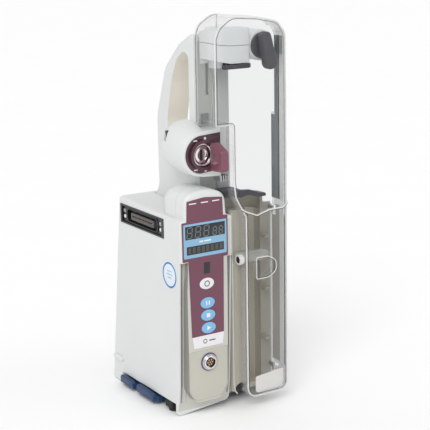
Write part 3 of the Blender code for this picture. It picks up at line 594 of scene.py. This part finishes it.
def seven_segment(x, z, height, thick, face):
    """One unlit digit as seven bars; x, z is its lower left corner."""
    width, lean = height * 0.52, 0.09
    bars = []
    for u0, v0, u1, v1 in ((0, 0, 1, 0), (0, 0.5, 1, 0.5), (0, 1, 1, 1), (0, 0, 0, 0.5),
                           (1, 0, 1, 0.5), (0, 0.5, 0, 1), (1, 0.5, 1, 1)):
        flat = v0 == v1
        trim = thick * 0.3
        low_u, low_v, high_u, high_v = u0 * width, v0 * height, u1 * width, v1 * height
        if flat:
            low_u, high_u = low_u + trim, high_u - trim
            shape = [(low_u, low_v), (low_u + thick / 2, low_v - thick / 2),
                     (high_u - thick / 2, low_v - thick / 2), (high_u, low_v),
                     (high_u - thick / 2, low_v + thick / 2),
                     (low_u + thick / 2, low_v + thick / 2)]
        else:
            low_v, high_v = low_v + trim, high_v - trim
            shape = [(low_u, low_v), (low_u + thick / 2, low_v + thick / 2),
                     (low_u + thick / 2, high_v - thick / 2), (low_u, high_v),
                     (low_u - thick / 2, high_v - thick / 2),
                     (low_u - thick / 2, low_v + thick / 2)]
        bars.append(plate("Y", [(x + u + v * lean, z + v) for u, v in shape],
                          (face - 0.06, face + 0.05)))
    return bars


def keypad():
    face = FRONT - 0.6
    overlay = plate("Y", rounded([(7.2, 215.0, 1), (26, 217.2, 30), (46.2, 215.0, 1),
                                  (47, 197.2, 0.6), (51.8, 197.0, 0.6), (51.8, 157.5, 0.6),
                                  (46.8, 157.3, 0.6), (45.9, 82.1), (10.3, 82.1),
                                  (8.1, 157.5, 0.6), (1.6, 157.6, 0.6), (1.3, 195.2, 0.6),
                                  (6.6, 195.4, 0.6)], 5), (face, FRONT - 0.05))
    cut(overlay, plate("Y", grown(FRAME_OUTLINE, FIT), (face - 1, FRONT + 1)),
        plate("Y", grown(IR_WINDOW, FIT), (face - 1, FRONT + 1)))
    for centre in KEYS.values():
        cut(overlay, plate("Y", ellipse(centre, *KEY_WELL), (face - 1, FRONT + 1)))
    show(overlay, "keypad_film", MAROON, nodes=["keypad_overlay"])
    surround = plate("Y", FRAME_OUTLINE, (face, FRONT - 0.05))
    for name, outline in WINDOWS.items():
        cut(surround, plate("Y", grown(outline, 0.05), (face - 1, FRONT + 1)))
        show(plate("Y", grown(outline, -0.02), (face + 0.15, FRONT - 0.05), 0.05, 1),
             name + "_window", WINDOW, nodes=[name + "_display_window"])
    show(surround, "display_surround", BLUE, nodes=["display_frame"])
    glass = face + 0.15
    digits = []
    for x, height in ((6.6, 10.2), (15.8, 10.2), (25.0, 10.2), (35.2, 7.3), (41.9, 7.3)):
        digits += seven_segment(x, 179.8, height, 0.95, glass)
    show(merged(digits), "unlit_digits", SEGMENT)
    cells = [box((x, x + 3.4), (glass - 0.05, glass + 0.05), (164.8, 170.8))
             for x in (7.6 + 5.0 * step for step in range(8))]
    show(merged(cells), "unlit_cells", CELL)
    dots = []
    for step in range(8):
        for row in range(7):
            for column in range(4):
                x, z = 7.95 + 5.0 * step + 0.8 * column, 165.1 + 0.82 * row
                dots.append(box((x, x + 0.42), (glass - 0.08, glass - 0.04), (z, z + 0.42)))
    show(merged(dots), "unlit_dots", SEGMENT)
    show(plate("Y", IR_WINDOW, (face + 0.1, FRONT - 0.05), 0.05, 1), "sensor_window", WINDOW,
         nodes=["infrared_window"])
    show(plate("Y", [(10.3, 82.0), (45.9, 82.0), (44.6, 70.3), (12.2, 70.3)],
               (face, FRONT - 0.05)), "lower_strip", KEY_WHITE, nodes=["label_strip"])
    sign = [cut(cylinder("Y", (24.5, 76.2), 2.3, (face - 0.04, face + 0.05)),
                cylinder("Y", (24.5, 76.2), 1.5, (face - 1, face + 1))),
            box((29, 36), (face - 0.04, face + 0.05), (75.6, 76.8))]
    show(merged(sign), "strip_marks", PRINT_DARK)
    marks = [pane((x, x + 8), (212.0, 213.0), 0.3, 3) for x in (9.5, 22.5, 35.0)]
    marks += [pane((x, x + w), (174.6, 176.0), 0.4, 3) for x, w in ((20, 4.6), (25.6, 7.5))]
    marks = [plate("Y", outline, (face - 0.03, face + 0.05)) for outline in marks]
    show(merged(marks), "film_marks", PRINT)


def key_symbol(name, x, z, face):
    """Generic signs on the keys: a ring, two bars, a square and a pointing triangle."""
    span = (face - 0.04, face + 0.06)
    if name == "select":
        return [cut(plate("Y", ellipse((x, z), 3.0, 3.0), span),
                    plate("Y", ellipse((x, z), 2.1, 2.1), (face - 1, face + 1)))]
    if name == "pause":
        return [box((x + low, x + low + 1.3), span, (z - 2, z + 2)) for low in (-2.1, 0.8)]
    if name == "channel_off":
        return [box((x - 1.9, x + 1.9), span, (z - 1.9, z + 1.9))]
    return [plate("Y", [(x - 1.9, z - 2.3), (x + 2.5, z), (x - 1.9, z + 2.3)], span)]


def keys():
    for name, (x, z) in KEYS.items():
        pad = plate("Y", ellipse((x, z), 8.0, 5.55), (FRONT - 1.1, FRONT + 0.8), 0.55, 4)
        select = name == "select"
        show(pad, name + "_pad", KEY_WHITE if select else KEY_BLUE, name + "_key",
             [name + "_key"])
        show(merged(key_symbol(name, x, z, FRONT - 1.1)), name + "_symbol",
             PRINT_DARK if select else PRINT, name + "_key")


def rear_tab():
    """The small fixed lug low on the left side, near the rear."""
    tab = plate("X", rounded([(108, 24.5, 1), (108, 28.8, 1), (126, 28.8, 1.5), (126, 24.5, 1.5)]),
                (-2.4, 0.5), 0.6, 3)
    show(tab, "rear_side_tab", WHITE)


def side_label():
    disc = turned("X", LABEL, [(13.2, -0.05), (13.2, -0.3), (13.0, -0.36)])
    show(disc, "side_disc", PALE_BLUE, nodes=["side_label"])
    ring = cut(cylinder("X", LABEL, 12.7, (-0.4, -0.3)), cylinder("X", LABEL, 10.9, (-2, 2)))
    marks = [box((-0.4, -0.3), (LABEL[0] - w, LABEL[0] + w), (z, z + 0.9))
             for w, z in ((4.0, 144.5), (5.2, 141.3), (3.6, 138.1))]
    show(ring, "side_ring", RING_BLUE)
    show(merged(marks), "side_marks", BLUE)


# ---- tower, handle and lock ---------------------------------------------------------
def tower_finish(x, y, z, normal):
    """Cream painted inside the handle's opening as warm light, and grey painted on the tower's
    front as shade.
    """
    if normal.y < -0.9 and y < TOWER_FRONT + 1 and x > 39:
        return 2
    inside = 23.2 < y < 66.2 and 249 < z < 350 and abs(x - 46.5) < 10
    return int(inside and abs(normal.x) < 0.5 and (y < 30 or normal.y <= 0.3))


def tower_handle():
    outer = rounded([(TOWER_FRONT, CASE_TOP - 0.5), (TOWER_FRONT, 365, 5.5), (24, 365, 8),
                     (44, 355, 22), (70.5, 331, 30), (88.5, 282, 40), (88.5, 240, 30),
                     (88, 212, 10), (98, CASE_TOP - 0.5)], 10)
    opening = rounded([(24, 250, 6), (24, 345, 5), (33, 349, 8), (46, 340, 14), (57, 318, 22),
                       (65.5, 280, 30), (65.5, 250, 8)], 10)
    tower = plate("X", outer, TOWER, 4.5, 6)
    cut(tower, plate("X", opening, (TOWER[0] - 5, TOWER[1] + 5)),
        box((46.7, 51.2), (TOWER_FRONT - 2, TOWER_FRONT + 5), (308, 342)),
        box((40.6, 49.3), (TOWER_FRONT - 2, TOWER_FRONT + 1.6), (281.4, 291)),
        box((TOWER[0] - 1, 50.8), (TOWER_FRONT - 2, TOWER_FRONT + FIT), (225, 285)))
    show(tower, "tower_moulding", WHITE, nodes=["tower_handle"])
    # painted light and shade: cream inside the handle's opening, grey on the tower's front
    recolour(tower, [OPENING_WARM_LIGHT, TOWER_FRONT_PAINTED_SHADE], tower_finish)


def escutcheon_outline(gap=0.0):
    x, z = LOCK
    return (arc((x, z), 17.9 + gap, 96, 262, 40)
            + [(49.6 + gap, 240.2 - gap), (49.6 + gap, 275.2 + gap)])


def lock():
    x, z = LOCK
    rings = []
    for radius, y, aside, above in ((20, -6, 0, 0), (20.6, -5.7, 0, 0), (21, -5, 0, 0),
                                    (22, 0, 0.3, 0.6), (23.1, 6, 0.7, 1.3), (23.8, 12, 1.2, 2.0),
                                    (24.4, 18, 1.9, 3.2), (24.6, 24, 2.4, 4.0),
                                    (24.6, 29, 2.6, 4.1), (24.0, 33, 2.6, 4.0),
                                    (22.5, 36.3, 2.6, 3.9), (20.5, 38.5, 2.6, 3.8),
                                    (17, 40.2, 2.6, 3.7), (13, 41, 2.6, 3.6)):
        rings.append([(x + aside + u, y, z + above + v)
                      for u, v in ellipse((0, 0), radius, radius, 96)])
    drum = lofted(rings)
    cut(drum, box((TOWER[0] - FIT, 70), (-20, 60), (200, 300)))
    block = plate("Y", [(x, z - 21.4), (x, z + 21), (50.5, z + 23.8), (50.5, z - 22.8)], (-6, 13),
                  1.0, 3)
    housing = join(drum, block)
    cut(housing, box((TOWER[0] - FIT, 60), (TOWER_FRONT - 0.05, 60), (200, 300)),
        plate("Y", escutcheon_outline(FIT), (-9, -4.8)),
        cylinder("Y", LOCK, LOCK_BORE, (-9, 10)),
        plate("X", [(23.5, 266.5), (26.5, 276), (31, 276), (28, 266.5)], (0, 16)))
    # painted shadow: a black plate inside the drum's slot
    show(plate("X", [(23.8, 267), (26.6, 275.6), (30.7, 275.6), (27.7, 267)], (11.6, 15.9)),
         "drum_slot_painted_shadow", BLACK)
    show(housing, "lock_drum", WHITE, nodes=["lock_housing"])
    badge = plate("Y", escutcheon_outline(), (-6.9, -4.9), 0.4)
    cut(badge, cylinder("Y", LOCK, LOCK_BORE, (-9, 10)))
    show(badge, "lock_badge", BADGE, nodes=["lock_escutcheon"])
    raised = (-7.05, -6.8)
    marks = []
    for side in (1, -1):
        bar = sorted((z + side * 13.2, z + side * 14.3))
        marks += [box((x - 9.5, x - 5.5), raised, bar),
                  cylinder("Y", (x + 3, z + side * 15.2), 1.3, raised, 24)]
    show(merged(marks), "badge_marks", PRINT)
    ring = cut(turned("Y", LOCK, [(11.1, 9.5), (11.1, -7.6), (10.7, -8.4), (10.0, -8.6),
                                  (9.2, -8.2), (8.8, -7.4)]),
               cylinder("Y", LOCK, 8.7, (-12, 7)))
    show(ring, "lock_bezel", CHROME, nodes=["lock_ring"])
    plug = turned("Y", LOCK, [(8.3, 6.5), (8.3, -6.2), (7.6, -6.8), (5.4, -7.0), (5.0, -5.0),
                              (3.8, -4.6)])
    cut(plug, box((x - 1.4, x + 1.4), (-10, 3), (z - 5.2, z + 5.2)))
    show(plug, "lock_plug", CHROME, "key_plug", ["key_plug"])
    show(plate("Y", pane((x - 1.3, x + 1.3), (z - 5.1, z + 5.1), 0.4, 3), (-3.4, -2.4)),
         "keyway_shadow", BLACK, "key_plug")
    fin = plate("X", rounded([(-9.2, 240.2, 1.5), (-9.2, 267.2, 1.5), (-15, 267.2, 3),
                              (-29.4, 260.5, 4), (-29.4, 241.5, 3)], 8), (36.2, 44.4), 1.2, 4)
    hub = cut(cylinder("Y", LOCK, 14.4, (-10.4, -9.0)), cylinder("Y", LOCK, 11.4, (-12, -8)))
    lever = show(join(fin, hub), "latch_fin", MAROON_SOLID, "latch_lever", ["latch_lever"])
    recolour(lever, [BADGE], lambda x, y, z, normal: int(x < 36.1))


# ---- drive head ---------------------------------------------------------------------
def drive_head():
    outline = rounded([(39.6, 12.4, 1), (41.8, -1, 5), (52, -7.4, 8), (83.2, -8.4, 2), (83.2, 12.4),
                       (POST[1], 12.4), (POST[1], 32), (POST[0], 32), (POST[0], 12.4)], 8)
    parting = [(30, 359.4), (41, 358.2), (50, 356), (60, 354.8), (70, HEAD_PARTING),
               (95, HEAD_PARTING)]
    upper = plate("Z", outline, (HEAD_BOTTOM, HEAD_TOP), 1.2, 4)
    cut(upper, plate("Y", rounded([(30, 366), (50, 370.2, 20), (70, 373), (90, 373), (90, 380),
                                   (30, 380)], 8), (-20, 40)),
        plate("Y", [(x, z + 0.22) for x, z in parting] + [(95, 330), (30, 330)], (-20, 40)))
    show(upper, "head_cover", HEAD_WHITE, "drive_head", ["head_upper_cover"])
    bottom = [(30, 345), (41, 343), (50, 340.5), (60, 338.6), (66, HEAD_BOTTOM - 1)]
    lower = cut(plate("Z", outline, (HEAD_BOTTOM, 365), 0.3, 2),
                plate("Y", [(x, z - 0.22) for x, z in parting] + [(95, 380), (30, 380)],
                      (-20, 40)),
                plate("Y", bottom + [(30, HEAD_BOTTOM - 1)], (-20, 12.3)),
                cylinder("Z", (79, SYRINGE[1]), 4.3, (330, 343)))
    show(lower, "head_base", HEAD_WHITE, "drive_head", ["head_lower_cover"])
    tab = plate("Y", rounded([(46, 342, 1), (56, 342, 1), (56, 334.4, 1), (46, 334.4, 1)]),
                (-3.5, 6), 0.5)
    show(tab, "head_guide_tab", WHITE, "drive_head")
    housing = cut(turned("Y", DIAL, [(14.6, 12), (14.6, -5.2), (14.0, -6.6), (12.8, -7.2)]),
                  box((70, 83.35), (-20, 20), (320, 380)),
                  cylinder("Y", DIAL, 5.4, (-10, 6)))
    show(housing, "gripper_shell", HEAD_WHITE, "drive_head", ["gripper_housing"])
    dial = join(turned("Y", DIAL, [(12.2, -7.45), (12.2, -8.8), (11.6, -9.6), (3.0, -9.6)]),
                cylinder("Y", DIAL, 5.0, (-9, 5)))
    show(dial, "gripper_disc", LEVER_GREY, "gripper_control", ["gripper_dial"])
    x, z = DIAL
    teardrop = (arc((x - 1.5, z + 8.5), 5.0, 8, 182, 20)
                + arc((x + 3.2, z - 15.5), 6.6, 182, 368, 20))
    undercut = cut(cylinder("Y", DIAL, 30, (-12.9, -5)), cylinder("Y", DIAL, 12.4, (-14, -4)))
    show(cut(plate("Y", teardrop, (-20, -9.7), 1.6, 5), undercut), "gripper_paddle", LEVER_GREY,
         "gripper_control", ["gripper_lever"])
    post = plate("Z", rounded([(POST[0], POST[2], 5), (POST[0], POST[3], 1),
                               (POST[1], POST[3], 1), (POST[1], POST[2], 5)], 10),
                 (166, HEAD_BOTTOM - 0.05))
    show(post, "drive_column", POST_GREY, "drive_head", ["drive_post"])


def jaws():
    for name, sign, pivot in (("front_jaw", -1, (58.5, -4.7)), ("rear_jaw", 1, (58.5, 1.7))):
        middle = SYRINGE[1] - 3
        inner, outer = middle + sign, middle + sign * 9.2
        points = [(54.5, pivot[1] - sign * 1.6, 1), (54.5, pivot[1] + sign * 4, 3),
                  (65, outer, 8), (81, outer + sign * 0.5, 5), (86.6, inner + sign * 4, 2),
                  (82, inner, 2), (63, inner, 2)]
        arm = plate("Z", rounded(points), (333.0 if sign < 0 else 333.6, 337.2), 0.9, 4)
        show(join(arm, cylinder("Z", pivot, 1.5, (335, 341))), name + "_arm", GREY, name,
             [name])


# ---- syringe compartment ------------------------------------------------------------
def cradle():
    x, y = SYRINGE
    outline = rounded([(58.2, 3), (58.2, -7, 3), (64, -10.4, 6), (74, -10.4, 4), (77, -6, 3),
                       (78, -1), (98, -1), (98.5, 1.3), (111.3, 1.3), (111.3, 3), (108, 3),
                       (108, 10), (100, 18), (76.2, 18), (76.2, 12.6), (61, 12.6), (61, 3)], 8)
    body = plate("Z", outline, (CASE_BOTTOM + 0.2, 199))
    cut(body, cylinder("Z", (x, y), BARREL_R, (17, 210)),
        plate("Z", [(x - 9.4, -12), (x - 9.4, 0), (x + 13, 0), (x + 13, -12)], (19, 210)),
        cylinder("Y", (67.5, 17.5), 6.2, (-20, 8)),
        box((61.3, 73.7), (-20, 8), (0, 17.5)),
        cylinder("Y", (67, 152), 3.4 + RUN, (-20, 6)),
        box((50, 120), (SEAM, 30), (0, CASE_BOTTOM + WALL + 0.2)),
        box((50, 120), (SEAM, 30), (CASE_TOP - WALL - 0.3, 210)),
        box((50, 120), (-12, 0), (0, CASE_BOTTOM + DOOR_WALL + 1.6)))
    for level in (62, 113.8, 166.5):
        join(body, box((98, 104.4), (-9, 1.6), (level, level + 1.8)))
    show(body, "compartment", BEIGE, nodes=["syringe_cradle"])
    # painted light: the beige moulding is painted lighter from x 75 and a middle tone past x 97
    recolour(body, [TROUGH_PAINTED_LIGHT, FLANK_PAINTED_LIGHT], lambda x, y, z, normal: (x > 75) + (x > 97))
    # painted highlight: a bright bead down the compartment's left edge
    show(bead([(60.2, -8.0, 196), (60.2, -8.0, 60), (60.2, -8.0, 25), (61.2, -8.8, 16),
               (63.0, -9.6, 12.6)], 0.6), "compartment_edge_highlight", HIGHLIGHT_CLEAR)
    # painted shadow: a black disc filling the tube notch
    show(cylinder("Y", (67.5, 17.5), 5.9, (-5.2, -4.8)), "tube_notch_painted_shadow", BLACK)
    collar = cut(cylinder("Z", (x, y), BARREL_R + 3, (193.9, 210)),
                 cylinder("Z", (x, y), BARREL_R, (190, 220)),
                 box((60, 110), (-30, 0), (190, 220)), box((60, 75.6), (-30, 40), (190, 220)),
                 box((60, 110), (-30, SEAM + 0.4), (190, 199.1)))
    show(collar, "trough_collar", BEIGE, nodes=["barrel_collar"])
    grip = plate("Y", rounded([(54.3, 219.5, 1), (70, 217.5, 8), (81, 216.5, 8), (90, 212.6, 8),
                               (98, 211.6, 1), (98, 208.6, 0.6), (89, 208.6, 6), (78, 211.8, 6),
                               (69, 210.5, 4), (54.3, 212.4, 1)], 6), (-11.5, -5.8), 0.8)
    join(grip, plate("Z", pane((54.3, 72.6), (-7, 12.4), 1, 4), (211.5, 217)))
    show(grip, "flange_wing", GREY, nodes=["flange_gripper"])


def barrel_clamp():
    arm = plate("Y", rounded([(60.5, 146.5, 3), (60.5, 157.5, 3), (90, 157.5, 3),
                              (98.6, 155, 3.5), (98.6, 149, 3.5), (90, 146.5, 3)]),
                (-16.2, -11), 1.2, 4)
    join(arm, cylinder("Y", (67, 152), 3.4, (-12, 4)))
    show(arm, "clamp_arm", CLAMP, "barrel_clamp", ["barrel_clamp"])
    knob = turned("X", KNOB, [(3.4, 60.6), (3.4, 59.8), (4.6, 59.8), (5.0, 60.4), (5.0, 64.2),
                              (4.4, 64.8)])
    # the clear knob wears the painted-highlight finish, so it reads bright
    show(knob, "clamp_knob", HIGHLIGHT_CLEAR, "barrel_clamp")
    show(cylinder("X", KNOB, 3.3, (60.2, 60.9)), "clamp_knob_end", BLACK,
         "barrel_clamp")


# ---- clear door ---------------------------------------------------------------------
def door_outline(g):
    """The door seen from the front, moved inward by g."""
    return rounded([(33.8 + g, 283 + g), (33.8 + g, 363, 6), (37.5 + g, 374.5 - g, 12),
                    (53, 384 - g, 18), (80, 382 - g, 60), (103, 377.5 - g, 12),
                    (113.5 - g, 366 - g, 12), (114.0 - g, 300), (114.5 - g, 11 + g, 9 - g),
                    (66 + g, 11 + g, 11 - g), (66 + g, 193 + g, 3), (54.8 + g, 214, 6),
                    (52.6 + g, 230), (52.6 + g, 283 + g, 2.0 + g)], 8)


V_LINE = [(60, 203), (66, 199.5), (78, 194.6), (92, 198.5), (107.7, 198.6), (113.6, 203)]


def door():
    shell = plate("Y", door_outline(0), (DOOR_FRONT, DOOR_BACK + 8), 2.0, 4)
    cut(shell, plate("Y", door_outline(DOOR_WALL), (DOOR_FRONT + DOOR_WALL, 30)),
        box((-5, 130), (DOOR_BACK, 40), (0, 400)),
        box((60, 130), (-1.6, 40), (-10, 400)),
        box((20, 70), (-12.2, 40), (-10, 282)),
        box((60, 72), (-21.3, 0), (143.5, 160.5)))
    lip = [(x, z + 1.1) for x, z in V_LINE] + [(x, z - 1.1) for x, z in reversed(V_LINE)]
    boss = rounded([(74, 132.3, 2), (74, 154.3, 2), (88, 154.3, 8), (97.8, 149, 7),
                    (97.8, 137.5, 7), (88, 132.3, 8)])
    join(shell, plate("Y", lip, (DOOR_FRONT - 1.4, DOOR_FRONT + 1)),
         plate("Y", boss, (DOOR_FRONT - 5, DOOR_FRONT + 1.2), 1.2))
    cut(shell, plate("Y", [(x + (86 - x) * 0.16, z + (143.3 - z) * 0.16) for x, z in boss],
                     (DOOR_FRONT - 3, DOOR_FRONT + 5)))
    for low, high in ((30, 34), (192, 196)):
        cut(shell, cylinder("Z", (110, -4.5), 6.4, (low - RUN, high + RUN)))
    cut(shell, box((106, 120), (-7.0, 20), (288, 376)))
    show(shell, "door_moulding", CLEAR, "clear_door", ["clear_door"])
    # painted shade on the door's right side faces
    recolour(shell, [DOOR_SIDE_SHADE], lambda x, y, z, normal: int(abs(normal.x) > 0.8 and x > 108))
    # painted highlights: bright beads along the door's rims, its V lip and the boss
    trim = door_outline(0.9)
    beads = [bead([(x, DOOR_FRONT + 0.9, z) for x, z in trim], 0.75, closed=True)]
    back = [(x, z) for x, z in trim if z > 283 and x < 60 and (x < 52 or z > 375)]
    beads.append(bead([(x, 11.6, z) for x, z in back], 0.6))
    for x, y, heights in ((113.2, -2.4, (205, 240, 285.2)), (113.2, -7.8, (289, 330, 360)),
                          (113.5, -2.4, (40, 80, 120, 160, 186))):
        beads.append(bead([(x, y, z) for z in heights], 0.6))
    beads.append(bead([(x, DOOR_FRONT - 1.3, z) for x, z in V_LINE], 0.7))
    beads.append(bead([(x, DOOR_FRONT - 4.6, z) for x, z in grown(boss, -0.5)], 0.45, closed=True))
    show(merged(beads), "door_highlight_beads", HIGHLIGHT_CLEAR, "clear_door")
    # painted shade: thin dark beads beside the bright ones
    edges = [bead([(x, DOOR_FRONT + 1.0, z) for x, z in door_outline(2.6)], 0.4, closed=True),
             bead([(x, 10.4, z) for x, z in back], 0.4),
             bead([(x, DOOR_FRONT - 1.2, z - 1.3) for x, z in V_LINE], 0.4),
             bead([(x, DOOR_FRONT - 4.4, z) for x, z in grown(boss, -1.6)], 0.4, closed=True)]
    show(merged(edges), "door_edge_shades", PAINTED_EDGE_SHADE, "clear_door")
    # painted light: strips of reflection, shade and highlight on the door's right side wall
    for name, finish, spans in (
            ("grey", GREY_REFLECTION_BAND, (((-13.4, -2.6), (204, 286)), ((-13.4, -7.9), (286, 362)))),
            ("dark", DARK_SHADE_BAND, (((-2.6, -1.7), (204, 286)), ((-7.9, -7.1), (288, 362)),
                                 ((-15.0, -13.4), (204, 362)), ((-22.6, -21.9), (36, 190)))),
            ("bright", HIGHLIGHT_BAND, (((-20.8, -15.0), (204, 362)), ((-20.6, -14.5), (36, 198)))),
            ("brown", BROWN_REFLECTION_BAND, (((-14.5, -1.8), (38, 187)), ((-14.5, -8.0), (187, 198))))):
        strips = [box((111.25, 111.45), y, z) for y, z in spans]
        show(merged(strips), "door_light_band_" + name, finish, "clear_door")
    # painted highlight: a near-white sheet in the door's lower right corner
    show(plate("Y", rounded([(77, 13.8, 4), (77, 31, 2), (110.5, 34, 2), (110.5, 13.8, 8)]),
               (-21.5, -21.3)), "door_corner_painted_highlight", CORNER_HIGHLIGHT, "clear_door")


# ---- set ----------------------------------------------------------------------------
def sun(name, direction, strength, softness):
    light = bpy.data.lights.new(name, "SUN")
    light.energy, light.angle = strength, math.radians(softness)
    placed(name, light).rotation_euler = Vector(direction).to_track_quat("Z", "Y").to_euler()


def studio():
    """Even white light, a soft key from the front left and a pale floor."""
    bpy.context.scene.view_settings.view_transform = "Standard"
    world = bpy.data.worlds.new("studio")
    bpy.context.scene.world = world
    world.use_nodes = True
    tree = world.node_tree
    tree.nodes["Background"].inputs["Color"].default_value = (1, 1, 1, 1)
    seen = node(tree, "ShaderNodeMapRange", To_Min=0.72, To_Max=1.1)
    rays = tree.nodes.new("ShaderNodeLightPath")
    tree.links.new(rays.outputs["Is Camera Ray"], seen.inputs["Value"])
    tree.links.new(seen.outputs["Result"], tree.nodes["Background"].inputs["Strength"])
    bm = bmesh.new()
    bmesh.ops.create_grid(bm, x_segments=1, y_segments=1, size=6.0)
    floor = placed("floor", mesh_of(bm, "floor"))
    floor.location.z = -0.0002
    floor.data.materials.append(plastic("floor_pale", (0.95, 0.95, 0.95), 0.7, 0.0, tint=0.004))
    sun("key_light", (-0.75, -0.8, 1.1), 1.3, 35)
    sun("fill_light", (0.9, -0.7, 0.8), 0.3, 50)


def camera():
    """The viewpoint: azimuth and elevation of the view, with a slight roll."""
    azimuth, elevation, roll = (math.radians(angle) for angle in (-32.279, 13.557, -0.981))
    back = Vector((math.sin(azimuth) * math.cos(elevation),
                   -math.cos(azimuth) * math.cos(elevation), math.sin(elevation)))
    right = (-back).cross(Vector((0, 0, 1))).normalized()
    up = right.cross(-back)
    turned_right = right * math.cos(roll) + up * math.sin(roll)
    turned_up = up * math.cos(roll) - right * math.sin(roll)
    lens = bpy.data.cameras.new("camera")
    lens.lens, lens.sensor_width, lens.clip_start = 105.81, 36.0, 0.05
    eye = placed("camera", lens)
    eye.matrix_world = (Matrix.Translation(to_metres(-578.9, -990.1, 477.0))
                        @ Matrix((turned_right, turned_up, back)).transposed().to_4x4())
    bpy.context.scene.camera = eye


camera()
studio()
for finish, names in CAD_FINISH.items():
    for cad_name in names:
        cad_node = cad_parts[cad_name]
        cad_node.data.materials.clear()
        cad_node.data.materials.append(finish)
for make in (rear_case, left_connector, release_latch, front_bezel, connector, keypad, keys,
             rear_tab, side_label, tower_handle, lock, drive_head, jaws, cradle, barrel_clamp,
             door):
    make()
